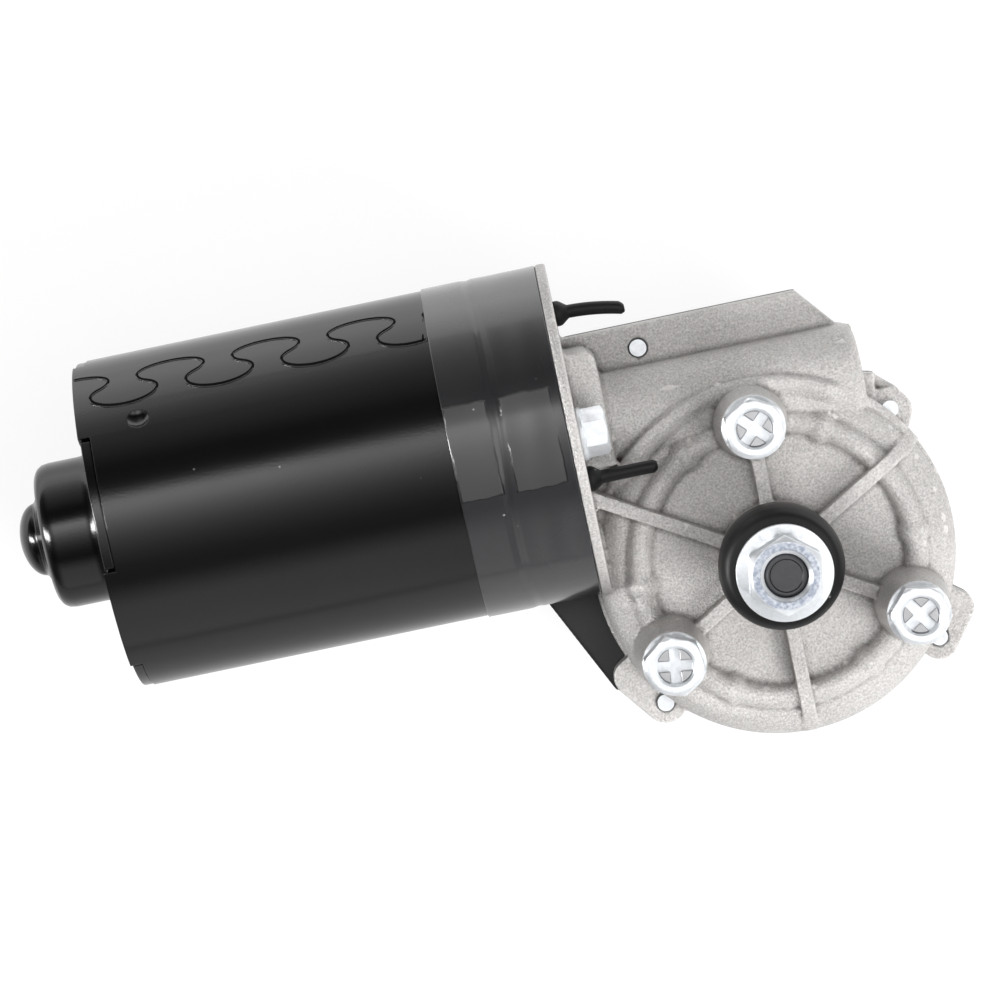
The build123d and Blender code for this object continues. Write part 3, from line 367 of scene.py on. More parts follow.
def paint_finish(colours):
    finish = Finish("black_paint")
    finish.mottle(
        colours.paint, 0.7, grain_scale=500.0, grain_amount=0.3, drift_scale=40.0, drift_amount=0.3,
        roughness=0.16, roughness_change=0.05,
    )
    finish.dust(0.5)
    peel = noise(finish.tree, surface_place(finish.tree), 2600.0)
    finish.bump(peel, 0.02 * MM, 0.6, 0.35 * MM)


def film_finish(colours):
    finish = Finish("grey_film", **{"Coat Weight": 0.7, "Coat Roughness": 0.12})
    finish.mottle(
        colours.film, 0.8, grain_scale=700.0, grain_amount=0.25, drift_scale=70.0, drift_amount=0.4,
        roughness=0.3, roughness_change=0.1,
    )
    finish.dust(0.6)
    tree = finish.tree
    height = product(tree, noise(tree, surface_place(tree), 160.0, 3.0), 0.03 * MM)
    for rear, front in ((0.1, 8.2), (10.4, 20.0)):
        values = {
            "Rear": BAND_LOW.x + rear * MM, "Front": BAND_LOW.x + front * MM, "Low Angle": radians(-13),
            "High Angle": radians(20), "Facing Angle": radians(9), "Radius": BAND_RADIUS, "Flatness": 0.85,
        }
        height = math(tree, "ADD", height, use_group(tree, "Flat Patch", values).outputs["Height"])
    finish.bump(height, 1.0)


def black_finish(name, tone, roughness, bump_depth, dust, **plain):
    finish = Finish(name, **plain)
    height = finish.mottle(
        tone, 0.75, grain_scale=1300.0, grain_amount=0.3, drift_scale=80.0, drift_amount=0.4,
        roughness=roughness, roughness_change=0.1,
    )
    finish.dust(dust)
    finish.bump(height, bump_depth, 0.6)


def zinc_finish(colours):
    finish = Finish("zinc_plate", metallic=0.7)
    height = finish.mottle(
        colours.zinc, 0.72, grain_scale=1500.0, grain_amount=0.3, drift_scale=420.0, drift_amount=0.5,
        roughness=0.36, roughness_change=0.16,
    )
    tree = finish.tree
    where = surface_place(tree)
    parts = split(tree, where)
    flat = put(tree, "ShaderNodeCombineXYZ", {0: parts["X"], 1: parts["Y"]}).outputs[0]
    away = put(tree, "ShaderNodeVectorMath", {0: flat}, operation="LENGTH").outputs["Value"]
    # Painted reflection: a darker bluish tone painted on the nut's flat top, broken by speckles
    ring = spread(tree, away, 6.0 * MM, 6.3 * MM, 1.0, 0.0)
    nut_top_reflection = spread(tree, parts["Z"], NUT_HIGH.z - 0.25 * MM, NUT_HIGH.z, 0.0, 1.0)
    speckle = spread(tree, noise(tree, where, 1500.0), 0.35, 0.65, 0.45, 0.95)
    mask = product(tree, ring, nut_top_reflection, speckle)
    finish.feed("Base Color", mix_colours(tree, mask, finish.colour, (0.25, 0.285, 0.36, 1.0)))
    finish.bump(height, 0.06 * MM, 0.8)


def metal_finish(name, tone, roughness, dark=0.8, lines=None):
    finish = Finish(name, metallic=1.0)
    height = finish.mottle(
        tone, dark, grain_scale=1000.0, grain_amount=0.3, drift_scale=120.0, drift_amount=0.4,
        roughness=roughness, roughness_change=0.12,
    )
    if lines:
        height = finish.lines(lines, 300.0, roughness, 0.2)
    finish.bump(height, 0.04 * MM, 0.6)


def plain_finish(name, tone, roughness, dark=0.85, **plain):
    finish = Finish(name, **plain)
    height = finish.mottle(
        tone, dark, grain_scale=900.0, grain_amount=0.3, drift_scale=90.0, drift_amount=0.4,
        roughness=roughness, roughness_change=0.1,
    )
    finish.bump(height, 0.04 * MM, 0.5)


class MOTOR_OT_finishes(bpy.types.Operator):
    """Makes every finish and gives it to the nodes of its slot"""

    bl_idname = "motor.finishes"
    bl_label = "Make Finishes"

    def execute(self, context):
        colours = context.scene.motor_colours
        mottle_group()
        drawn_lines_group()
        dust_group()
        crease_shade_and_edge_highlight_group()
        patch_group()
        casting_finish(colours)
        paint_finish(colours)
        film_finish(colours)
        zinc_finish(colours)
        black_finish("black_plastic", colours.plastic, 0.42, 0.05 * MM, 0.4)
        black_finish("black_rubber", colours.rubber, 0.48, 0.03 * MM, 0.5, **{"Specular IOR Level": 0.34})
        metal_finish("dark_steel", (0.10, 0.10, 0.105), 0.42, 0.7)
        metal_finish("plain_steel", (0.56, 0.56, 0.57), 0.35, lines=(1.0, 30.0, 30.0))
        metal_finish("spring_steel", (0.40, 0.40, 0.42), 0.3)
        metal_finish("bronze", (0.50, 0.32, 0.16), 0.5)
        metal_finish("bright_brass", (0.75, 0.58, 0.28), 0.25)
        metal_finish("copper", (0.72, 0.36, 0.20), 0.3)
        plain_finish("seam_shadow", (0.002, 0.002, 0.002), 0.9, **{"Specular IOR Level": 0.1})
        plain_finish("ferrite", (0.08, 0.08, 0.085), 0.6)
        plain_finish("carbon", (0.04, 0.04, 0.042), 0.5)
        plain_finish("brown_phenolic", (0.16, 0.08, 0.04), 0.45)
        plain_finish("white_acetal", (0.80, 0.78, 0.71), 0.4)
        plain_finish("orange_resin", (0.60, 0.22, 0.04), 0.3)
        plain_finish("cream_case", (0.70, 0.62, 0.45), 0.45)
        for node, slot in FINISH_OF_NODE.items():
            mesh = NODES[node].data
            mesh.materials.clear()
            mesh.materials.append(bpy.data.materials[slot + "_finish"])
        return {"FINISHED"}


# ---- Piece helpers

# Vertices of a copied mesh that are nearer than this, in metres, are one
MERGE = 2e-6


def link_object(name, data):
    """A new object in the scene, at the origin."""
    made = bpy.data.objects.new(name, data)
    bpy.context.scene.collection.objects.link(made)
    return made


def place_piece(bm, name, slot, body, replaced=()):
    """Makes the object from its bmesh, dresses it, and lets it ride on its body."""
    bmesh.ops.recalc_face_normals(bm, faces=bm.faces)
    mesh = bpy.data.meshes.new(name)
    bm.to_mesh(mesh)
    bm.free()
    mesh.shade_smooth()
    piece = link_object(name, mesh)
    mesh.materials.append(bpy.data.materials[slot + "_finish"])
    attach(piece, body)
    if replaced:
        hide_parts(*replaced)
    return piece


def round_edges(piece, width):
    """Rounds the sharp edges of a finished piece."""
    bevel = piece.modifiers.new("Rounded edges", "BEVEL")
    bevel.width = width
    bevel.segments = 2
    bevel.limit_method = "ANGLE"
    bevel.angle_limit = radians(28)
    bevel.harden_normals = True


def final_mesh(holder):
    """The mesh of an object as its modifiers or its curve's bevel leave it."""
    depsgraph = bpy.context.evaluated_depsgraph_get()
    return bpy.data.meshes.new_from_object(holder.evaluated_get(depsgraph))


def merged_copy(node):
    """A bmesh copy of a node's mesh, with its doubled vertices merged."""
    bm = bmesh.new()
    bm.from_mesh(NODES[node].data)
    bmesh.ops.remove_doubles(bm, verts=bm.verts, dist=MERGE)
    return bm


def move_into(whole, bm):
    """Adds a finished bmesh to a larger one, and frees it."""
    part = bpy.data.meshes.new("part")
    bm.to_mesh(part)
    bm.free()
    whole.from_mesh(part)
    bpy.data.meshes.remove(part)


def lay_along_motor(bm, front=0.0, up=0.0):
    """Turns what was made round Z to lie round the motor's axis, or round a line above or below it."""
    bm.transform(Matrix.Rotation(radians(90), 4, "Y"))
    bm.transform(Matrix.Translation((front, MOTOR_AXIS.y, MOTOR_AXIS.z + up)))


def open_edges(bm):
    return [edge for edge in bm.edges if edge.is_boundary]


def lathe(bm, profile, steps):
    """Spins a chain of (radius, height) points all the way round Z, and returns the vertices."""
    start = [bm.verts.new((radius, 0.0, height)) for radius, height in profile]
    edges = [bm.edges.new(pair) for pair in zip(start, start[1:])]
    bmesh.ops.spin(
        bm, geom=start + edges, cent=(0, 0, 0), axis=(0, 0, 1), angle=tau, steps=steps, use_merge=True,
        use_duplicate=False,
    )
    bmesh.ops.remove_doubles(bm, verts=bm.verts, dist=1e-7)
    return list(bm.verts)


def spin_section(section, span, steps):
    """Spins a closed section of (radius, height) points part of the way round Z, and closes both ends."""
    bm = bmesh.new()
    corners = [bm.verts.new((radius, 0, height)) for radius, height in section]
    loop = [bm.edges.new(pair) for pair in zip(corners, corners[1:] + corners[:1])]
    bmesh.ops.spin(
        bm, geom=corners + loop, cent=(0, 0, 0), axis=(0, 0, 1), angle=span, steps=steps, use_duplicate=False
    )
    bmesh.ops.holes_fill(bm, edges=open_edges(bm), sides=len(section))
    return bm


def rounded_corner(before, corner, after, radius):
    """Points of a small arc that replaces a profile's corner."""
    corner = Vector(corner)
    first = (Vector(before) - corner).normalized() * radius
    second = (Vector(after) - corner).normalized() * radius
    return [tuple(corner + first * (1 - t) ** 2 + second * t**2) for t in levels(0.0, 1.0, 4)]


def round_profile(points, rounded):
    """A profile with some of its corners, given by index, replaced by arcs."""
    result = []
    for k, point in enumerate(points):
        if k in rounded:
            result += rounded_corner(points[k - 1], point, points[k + 1], rounded[k])
        else:
            result.append(point)
    return result


def levels(low, high, count):
    return [low + (high - low) * k / count for k in range(count + 1)]


def turn_from(vert, axis):
    """How far a vertex stands round Z from an axis in the plane of X and Y."""
    return vert.co.xy.angle_signed(Vector(axis))


def set_radius(vert, radius):
    share = radius / vert.co.xy.length
    vert.co.x *= share
    vert.co.y *= share


def verts_of(geometry):
    return [item for item in geometry if isinstance(item, bmesh.types.BMVert)]


def flanged_hexagon(bm, flats, flange, flange_height, slope_height, top, chamfer, turn, steps, domed=False):
    """The outside of a flanged hexagon from its seat at Z 0 to its top, open at both ends."""
    corner = flats / sqrt(3)
    edge, edge_slope = 0.25 * MM, 0.6
    skirt_run = flange - flats / 2 + 0.4 * MM
    crown_run = corner - flats / 2 + 0.3 * MM

    def skirt(z):
        if z <= flange_height:
            return flange - max(0.0, edge - z) * edge_slope
        return flange - (z - flange_height) / slope_height * skirt_run

    def crown(z):
        climb = max(0.0, z - (top - chamfer)) / chamfer
        return corner - (1 - sqrt(max(0.0, 1 - climb**2)) if domed else climb) * crown_run

    heights = [0.0, edge, flange_height] + levels(flange_height, top, 26)[1:]
    for vert in lathe(bm, [(flange, z) for z in heights], steps):
        from_flat = (turn_from(vert, (1, 0)) - turn) % (pi / 3) - pi / 6
        side = flats / 2 / cos(from_flat)
        set_radius(vert, max(skirt(vert.co.z), min(crown(vert.co.z), side)))
    return crown(top)


def cap_rings(bm, rings):
    """Grows an open top edge inwards by rings of (radius, height), and returns the last ring's edges."""
    rim = open_edges(bm)
    height = max(edge.verts[0].co.z for edge in rim)
    loop = [edge for edge in rim if abs(edge.verts[0].co.z - height) < 1e-7]
    for radius, z in rings:
        grown = bmesh.ops.extrude_edge_only(bm, edges=loop)["geom"]
        for vert in verts_of(grown):
            set_radius(vert, radius)
            vert.co.z = z
        loop = [item for item in grown if isinstance(item, bmesh.types.BMEdge) and item.is_boundary]
    return loop


def close_loop(bm, loop):
    bmesh.ops.contextual_create(bm, geom=loop)


def slab(bm, outline, low, high):
    """Adds a flat plate between two heights, from its outline."""
    verts = [bm.verts.new((x, y, low)) for x, y in outline]
    face = bmesh.ops.contextual_create(bm, geom=verts)["faces"]
    grown = bmesh.ops.extrude_face_region(bm, geom=face, use_keep_orig=True)["geom"]
    bmesh.ops.translate(bm, verts=verts_of(grown), vec=(0, 0, high - low))


# ---- Castings

# The web between the upper right ear and the plate, in two steps: outlines in mm, and their lowest and highest Z
EAR_WEBS = (
    (((23.0, 25.6), (25.0, 29.4), (28.9, 26.0), (26.0, 24.0)), -30.5, -27.0),
    (((23.0, 20.0), (23.0, 26.3), (28.3, 26.6), (30.9, 22.6), (30.0, 19.0), (27.0, 17.0)), -30.5, -26.0),
)

# The bowl's shoulder in front of the worm tunnel: a section of (radius, Z) in mm, and the angle that it spans
ARC_SECTION = (
    (30.7, -24.0), (34.55, -24.0), (34.55, -13.3), (34.25, -12.8), (33.5, -12.5), (32.4, -12.7), (31.4, -13.5),
    (30.7, -14.8),
)
ARC_SPAN = radians(124)

# What lies above the arc's foot sinks: from this far off its middle, over this run, and sooner on the right
ARC_FOOT, ARC_SINK = -20 * MM, 6.5 * MM
SINK_START, SINK_RUN, RIGHT_LEAD = radians(40), radians(20), radians(13)


def crossing_arc():
    """The stretch of the bowl's shoulder that crosses in front of the worm tunnel, sunk at both ends."""
    bm = spin_section([(radius * MM, z * MM) for radius, z in ARC_SECTION], ARC_SPAN, 62)
    bm.transform(Matrix.Rotation(pi / 2 - ARC_SPAN / 2, 4, "Z"))
    for vert in bm.verts:
        away = abs(turn_from(vert, (0, 1))) + (RIGHT_LEAD if vert.co.x > 0 else 0.0)
        sink = min(1.0, max(0.0, (away - SINK_START) / SINK_RUN))
        if vert.co.z > ARC_FOOT:
            vert.co.z -= ARC_SINK * sink * sink * (3 - 2 * sink)
    return bm


class MOTOR_OT_castings(bpy.types.Operator):
    """Softens the housing and the cover as a die leaves them"""

    bl_idname = "motor.castings"
    bl_label = "Cast Housing and Cover"

    def soften(self, bm, node, name, voxel, smoothing, share_kept):
        """Melts a bmesh into one skin with soft edges, and places it for its node."""
        piece = place_piece(bm, name, FINISH_OF_NODE[node], "frame", (node,))
        remesh = piece.modifiers.new("Voxels", "REMESH")
        remesh.mode = "VOXEL"
        remesh.voxel_size = voxel
        remesh.use_smooth_shade = True
        relax = piece.modifiers.new("Relaxed", "SMOOTH")
        relax.factor = 0.5
        relax.iterations = smoothing
        lean = piece.modifiers.new("Leaner", "DECIMATE")
        lean.ratio = share_kept
        mesh = final_mesh(piece)
        piece.modifiers.clear()
        piece.data = mesh
        piece.data.shade_smooth()

    def execute(self, context):
        sizes = context.scene.motor_sizes
        housing = merged_copy("gear_housing")
        for outline, low, high in EAR_WEBS:
            slab(housing, [(x * MM, y * MM) for x, y in outline], low * MM, high * MM)
        move_into(housing, crossing_arc())
        self.soften(housing, "gear_housing", "cast_housing", sizes.casting_voxel, smoothing=1, share_kept=0.55)
        cover = merged_copy("gear_cover")
        self.soften(cover, "gear_cover", "moulded_cover", sizes.cover_voxel, smoothing=2, share_kept=0.5)
        return {"FINISHED"}


# ---- Fasteners


class MOTOR_OT_mounting_bolts(bpy.types.Operator):
    """Makes the three flanged bolts with a dished head and a cross recess"""

    bl_idname = "motor.mounting_bolts"
    bl_label = "Mounting Bolts"

    def head(self, sizes, top):
        """A domed head with a dish in its top, closed below."""
        bm = bmesh.new()
        rim = flanged_hexagon(
            bm, sizes.bolt_flats, sizes.bolt_flange, flange_height=1.0 * MM, slope_height=0.4 * MM, top=top,
            chamfer=1.5 * MM, turn=0.0, steps=sizes.lathe_steps, domed=True,
        )
        dish = sizes.bolt_dish
        rings = [
            (rim - 0.1 * MM, top), (dish + 0.5 * MM, top), (dish + 0.1 * MM, top - 0.4 * MM), (dish, top - 1.0 * MM),
            (dish - 0.05 * MM, top - 2.0 * MM),
        ]
        close_loop(bm, cap_rings(bm, rings))
        close_loop(bm, open_edges(bm))
        return bm

    def pad(self, radius, arm, low, high):
        """A quarter of a disc, less half an arm of the cross along its two straight sides."""
        bm = bmesh.new()
        bmesh.ops.create_circle(bm, cap_ends=True, segments=48, radius=radius)
        for normal in (Vector((1, 0, 0)), Vector((0, 1, 0))):
            whole = bm.verts[:] + bm.edges[:] + bm.faces[:]
            bmesh.ops.bisect_plane(bm, geom=whole, plane_co=normal * arm / 2, plane_no=normal, clear_inner=True)
        top = verts_of(bmesh.ops.extrude_face_region(bm, geom=bm.faces[:])["geom"])
        for vert in bm.verts:
            vert.co.z = high if vert in top else low
        return bm

    def execute(self, context):
        sizes = context.scene.motor_sizes
        circle = BOLTS_HIGH.y - sizes.bolt_flange
        top = BOLTS_HIGH.z
        heads, sockets = bmesh.new(), bmesh.new()
        for angle, tightened in ((90, 0), (210, 8), (330, 18)):
            place = Matrix.Rotation(radians(angle), 4, "Z") @ Matrix.Translation((circle, 0, 0))
            head = self.head(sizes, top)
            head.transform(place @ Matrix.Rotation(radians(tightened), 4, "Z"))
            move_into(heads, head)
            for quarter in range(4):
                pad = self.pad(sizes.bolt_dish, sizes.bolt_cross, top - 2.1 * MM, top - 0.8 * MM)
                pad.transform(place @ Matrix.Rotation(radians(tightened + 90 * quarter + 45), 4, "Z"))
                move_into(sockets, pad)
        round_edges(place_piece(heads, "bolt_heads", "zinc_plate", "frame", ("mounting_bolts",)), sizes.edge_round)
        round_edges(place_piece(sockets, "bolt_sockets", "plain_steel", "frame"), sizes.edge_round)
        return {"FINISHED"}


class MOTOR_OT_shaft_nut(bpy.types.Operator):
    """Makes the flanged nut on the output shaft"""

    bl_idname = "motor.shaft_nut"
    bl_label = "Shaft Nut"

    def execute(self, context):
        sizes = context.scene.motor_sizes
        bm = bmesh.new()
        top = NUT_HIGH.z - NUT_LOW.z
        flange = (NUT_HIGH.x - NUT_LOW.x) / 2
        bore = sizes.nut_bore
        rim = flanged_hexagon(
            bm, sizes.nut_flats, flange, flange_height=1.3 * MM, slope_height=0.7 * MM, top=top,
            chamfer=1.0 * MM, turn=radians(21), steps=sizes.lathe_steps,
        )
        rings = [
            (rim - 0.15 * MM, top), (bore + 0.85 * MM, top), (bore + 0.05 * MM, top - 0.8 * MM), (bore, 0.3 * MM),
        ]
        inner = cap_rings(bm, rings)
        seat = [edge for edge in open_edges(bm) if edge not in inner]
        bmesh.ops.bridge_loops(bm, edges=inner + seat)
        bmesh.ops.translate(bm, verts=bm.verts, vec=(0, 0, NUT_LOW.z))
        round_edges(place_piece(bm, "flange_nut", "zinc_plate", "output", ("shaft_nut",)), sizes.edge_round)
        return {"FINISHED"}


class MOTOR_OT_tie_screws(bpy.types.Operator):
    """Makes the two hexagon screws that hold the tube's flange"""

    bl_idname = "motor.tie_screws"
    bl_label = "Tie Screws"

    def execute(self, context):
        sizes = context.scene.motor_sizes
        tall = 5.3 * MM
        reach = (TIES_HIGH.z - TIES_LOW.z) / 2 - sizes.tie_flange
        whole = bmesh.new()
        for side in (1, -1):
            bm = bmesh.new()
            rim = flanged_hexagon(
                bm, sizes.tie_flats, sizes.tie_flange, flange_height=0.8 * MM, slope_height=0.4 * MM, top=tall,
                chamfer=0.6 * MM, turn=radians(30), steps=sizes.lathe_steps,
            )
            close_loop(bm, cap_rings(bm, [(rim - 0.1 * MM, tall), (1.5 * MM, tall - 0.1 * MM)]))
            close_loop(bm, open_edges(bm))
            lay_along_motor(bm, TIES_HIGH.x - tall, side * reach)
            move_into(whole, bm)
        round_edges(place_piece(whole, "tie_screw_heads", "zinc_plate", "frame", ("tie_screws",)), sizes.edge_round)
        return {"FINISHED"}


# ---- Seam and rear end


class MOTOR_OT_seam(bpy.types.Operator):
    """Lays a very dark bead as painted shadow in the puzzle seam's gap, and the seam's rolled lower lip, along the
    tube
    """

    bl_idname = "motor.seam"
    bl_label = "Puzzle Seam"

    def line(self, sink, across, along):
        """Points of the seam on the tube, lobe after lobe, shifted across and along it."""
        half, pitch, amplitude, middle = 6.3 * MM, 18.0 * MM, 10.4 * MM, radians(57.5)
        lobes, margin, radius = 9, 0.1 * MM, TUBE_RADIUS - sink
        rise = sqrt(half**2 - (pitch / 4) ** 2)
        squash = amplitude / 2 / (rise + half)
        lean = atan2(rise, pitch / 4)
        points = []
        for k in range(lobes):
            centre = TUBE_LOW.x + 0.5 * MM + k * pitch / 2
            up = 1 if k % 2 == 0 else -1
            for turn in levels(pi + lean, -lean, 30)[:-1]:
                x = centre + half * cos(turn) + along
                side = (up * squash * (rise + half * sin(turn)) + across) / TUBE_RADIUS
                angle = middle + side * (1 + side**2 / 6)
                if TUBE_LOW.x + margin < x < BAND_LOW.x - margin:
                    points.append((x, MOTOR_AXIS.y + radius * sin(angle), MOTOR_AXIS.z + radius * cos(angle)))
        return points

    def bead(self, name, thickness, points):
        """Lays a round bead along a line of points."""
        line = bpy.data.curves.new(name, "CURVE")
        line.dimensions = "3D"
        line.bevel_depth = thickness
        line.bevel_resolution = 2
        line.use_fill_caps = True
        path = line.splines.new("POLY")
        path.points.add(len(points) - 1)
        for spot, place in zip(path.points, points):
            spot.co = (*place, 1.0)
        holder = link_object(name + " line", line)
        mesh = final_mesh(holder)
        bm = bmesh.new()
        bm.from_mesh(mesh)
        bpy.data.objects.remove(holder)
        bpy.data.curves.remove(line)
        bpy.data.meshes.remove(mesh)
        return place_piece(bm, name, "black_paint", "frame")

    def execute(self, context):
        # Painted shadow: a very dark, matt bead in the seam stands in for the shade inside the gap
        gap = self.bead("seam_painted_shadow", 0.42 * MM, self.line(0.26 * MM, 0.0, 0.0))
        gap.data.materials[0] = bpy.data.materials["seam_shadow_finish"]
        self.bead("seam_lip", 0.24 * MM, self.line(0.11 * MM, -0.52 * MM, -0.12 * MM))
        return {"FINISHED"}


class MOTOR_OT_rear_bell(bpy.types.Operator):
    """Turns the rear bell with its bearing cup and small dome, and adds its four tabs"""

    bl_idname = "motor.rear_bell"
    bl_label = "Rear Bell"

    def execute(self, context):
        front, tip = BELL_HIGH.x, BELL_LOW.x
        rear = front - 2.0 * MM
        reach = (BELL_HIGH.y - BELL_LOW.y) / 2
        disc, cup, dome = reach - 2.35 * MM, 13.8 * MM, 6.9 * MM
        face = tip + 5.1 * MM
        dome_foot = face - 1.2 * MM
        outside = [
            (disc, front), (disc, rear), (cup + 1.6 * MM, rear), (cup, rear - 2.5 * MM), (cup, face),
            (dome + 2.2 * MM, face), (dome, dome_foot),
        ]
        outside = round_profile(outside, {2: 1.2 * MM, 3: 1.2 * MM, 4: 3.0 * MM, 5: 1.2 * MM})
        for turn in levels(0.0, radians(90), 12)[1:-1]:
            outside.append((dome * cos(turn), dome_foot - 3.9 * MM * sin(turn)))
        inside = [
            (0.0, tip), (0.0, tip + 1.9 * MM), (3.8 * MM, tip + 1.9 * MM), (5.2 * MM, face + 1.6 * MM),
            (cup - 1.6 * MM, face + 1.6 * MM), (cup - 1.6 * MM, front), (disc, front),
        ]
        whole = bmesh.new()
        # The bell is large, so it gets twice the steps of a fastener
        lathe(whole, outside + inside, context.scene.motor_sizes.lathe_steps * 2)
        inner, outer, span = disc - 1.0 * MM, reach - 0.02 * MM, radians(46)
        for k in range(4):
            tab = spin_section([(inner, rear), (outer, rear), (outer, front), (inner, front)], span, 16)
            tab.transform(Matrix.Rotation(pi - span / 2 + radians(90 * k - 12.5), 4, "Z"))
            move_into(whole, tab)
        lay_along_motor(whole)
        round_edges(place_piece(whole, "rear_bell", "black_paint", "frame", ("end_bell",)), 0.35 * MM)
        return {"FINISHED"}


# ---- Rubber and film


class MOTOR_OT_dust_cap(bpy.types.Operator):
    """Turns the rubber cap over the shaft's collar"""

    bl_idname = "motor.dust_cap"
    bl_label = "Dust Cap"

    def execute(self, context):
        radius = (CAP_HIGH.x - CAP_LOW.x) / 2
        low, top = CAP_LOW.z, CAP_HIGH.z
        points = [
            (radius - 0.75 * MM, low), (radius - 0.35 * MM, low), (radius, -1.8 * MM),
            (radius - 0.45 * MM, 1.6 * MM), (radius - 1.5 * MM, 3.1 * MM), (7.6 * MM, top), (5.02 * MM, top),
            (5.02 * MM, 1.3 * MM), (radius - 2.4 * MM, 1.3 * MM), (radius - 0.85 * MM, -0.6 * MM),
            (radius - 0.75 * MM, low),
        ]
        rounding = {2: 1.2 * MM, 3: 0.9 * MM, 4: 0.7 * MM}
        bm = bmesh.new()
        lathe(bm, round_profile(points, rounding), context.scene.motor_sizes.lathe_steps)
        place_piece(bm, "rubber_cap", "black_rubber", "output", ("dust_cap",))
        return {"FINISHED"}


class MOTOR_OT_vent_pipes(bpy.types.Operator):
    """Moulds the two rubber vent pipes, each with a flared foot on the motor flange"""

    bl_idname = "motor.vent_pipes"
    bl_label = "Vent Pipes"

    def execute(self, context):
        foot, stem, flange, reach = 2.45 * MM, 1.25 * MM, 2.0 * MM, 13.0 * MM
        bore = stem - 0.02 * MM
        points = [
            (0, -flange), (bore, -flange), (bore, 0), (foot - 0.1 * MM, 0), (foot, 0.9 * MM), (1.6 * MM, 2.0 * MM),
        ]
        points += [(stem, height) for height in levels(2.5 * MM, reach - 0.8 * MM, 14)]
        points += [(0.75 * MM, reach), (0, reach)]
        rounding = {4: 0.6 * MM, 5: 0.4 * MM, len(points) - 2: 0.35 * MM}
        for side, sag in (("upper", 12.2), ("lower", 0.0)):
            low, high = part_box(side + "_vent_pipe")
            seat = Vector((low.x + flange, low.y + foot, (low.z + high.z) / 2))
            bm = bmesh.new()
            for vert in lathe(bm, round_profile(points, rounding), 32):
                across, out, height = vert.co
                droop = sag * max(0.0, height - flange) ** 2
                vert.co = seat + Vector((height, across - droop, out))
            place_piece(bm, side + "_vent", "black_rubber", "frame", (side + "_vent_pipe",))
        return {"FINISHED"}


class MOTOR_OT_seal_film(bpy.types.Operator):
    """Shrinks the film over the joint of tube and flange"""

    bl_idname = "motor.seal_film"
    bl_label = "Seal Film"

    def execute(self, context):
        swell = context.scene.motor_sizes.film_swell
        bm = bmesh.new()
        low, high = BAND_LOW.x, BAND_HIGH.x
        inner = TUBE_RADIUS + 0.02 * MM
        rings = [(inner, low)] + [(BAND_RADIUS, x) for x in levels(low, high, 90)] + [(inner, high)]
        verts = lathe(bm, rings, 300)
        bmesh.ops.bridge_loops(bm, edges=open_edges(bm))
        for vert in verts:
            if vert.co.xy.length > inner + 0.05 * MM:
                set_radius(vert, BAND_RADIUS - self.dip(vert.co.z, turn_from(vert, (1, 0))) * swell)
        lay_along_motor(bm)
        place_piece(bm, "shrink_film", "grey_film", "frame", ("seal_band",))
        return {"FINISHED"}

    def dip(self, x, angle):
        """How far the film sinks, from 0 to 1, at a place along the band and round it."""
        along = (x - BAND_LOW.x) / (BAND_HIGH.x - BAND_LOW.x)
        middle, half_width = 0.42, 0.06
        groove = max(0.0, 1 - abs(along - middle - 0.03 * sin(3 * angle)) / half_width)
        ripple = 0.5 + 0.5 * sin(along * 24 + 1.5 * sin(2 * angle))
        slow = 0.5 + 0.5 * sin(along * 7 + 2 * angle)
        return 0.15 + 0.6 * groove**2 * (3 - 2 * groove) + 0.1 * ripple * (along > middle) + 0.15 * slow


# ---- Brush springs


class MOTOR_OT_brush_springs(bpy.types.Operator):
    """Copies the brush springs as pieces of their own on the frame; the copies don't shorten as their brush slides
    back
    """

    bl_idname = "motor.brush_springs"
    bl_label = "Brush Springs"

    def execute(self, context):
        for side, held_end in (("front", 1), ("back", 0)):
            node, joint = "brush_spring_" + side, "brush_" + side + "_slide"
            piece = place_piece(merged_copy(node), side + "_brush_coil", "spring_steel", "frame", (node,))
            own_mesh(piece)
        return {"FINISHED"}


# ---- Stage

# Brightness of the studio by the tilt from overhead towards +Y, in degrees, as a share of the full brightness
SOFTBOX_PROFILE = (
    (-90, 0.22), (-55, 0.22), (-46, 0.12), (-37, 0.02), (-25, 0.04), (-15, 0.10), (-5, 0.22), (5, 0.47), (14, 0.85),
    (20, 0.97), (25, 0.16), (30, 0.012), (45, 0.015), (55, 0.07), (65, 0.12), (75, 0.19), (90, 0.36),
)

# The camera's lens in mm, its place in metres along its own axes, and the turns in degrees that give those axes
LENS = 178.28
CAMERA_PLACE = (-0.05186, 0.01245, 0.9095)
CAMERA_TURNS = ((5.23, "X"), (-0.18, "Y"), (11.81, "Z"))

# How much of the floor is its own glow, seen by the camera and seen in glossy parts, and how bright the glow is
GLOW_SEEN, GLOW_MIRRORED, GLOW = 0.8, 0.6, 1.12


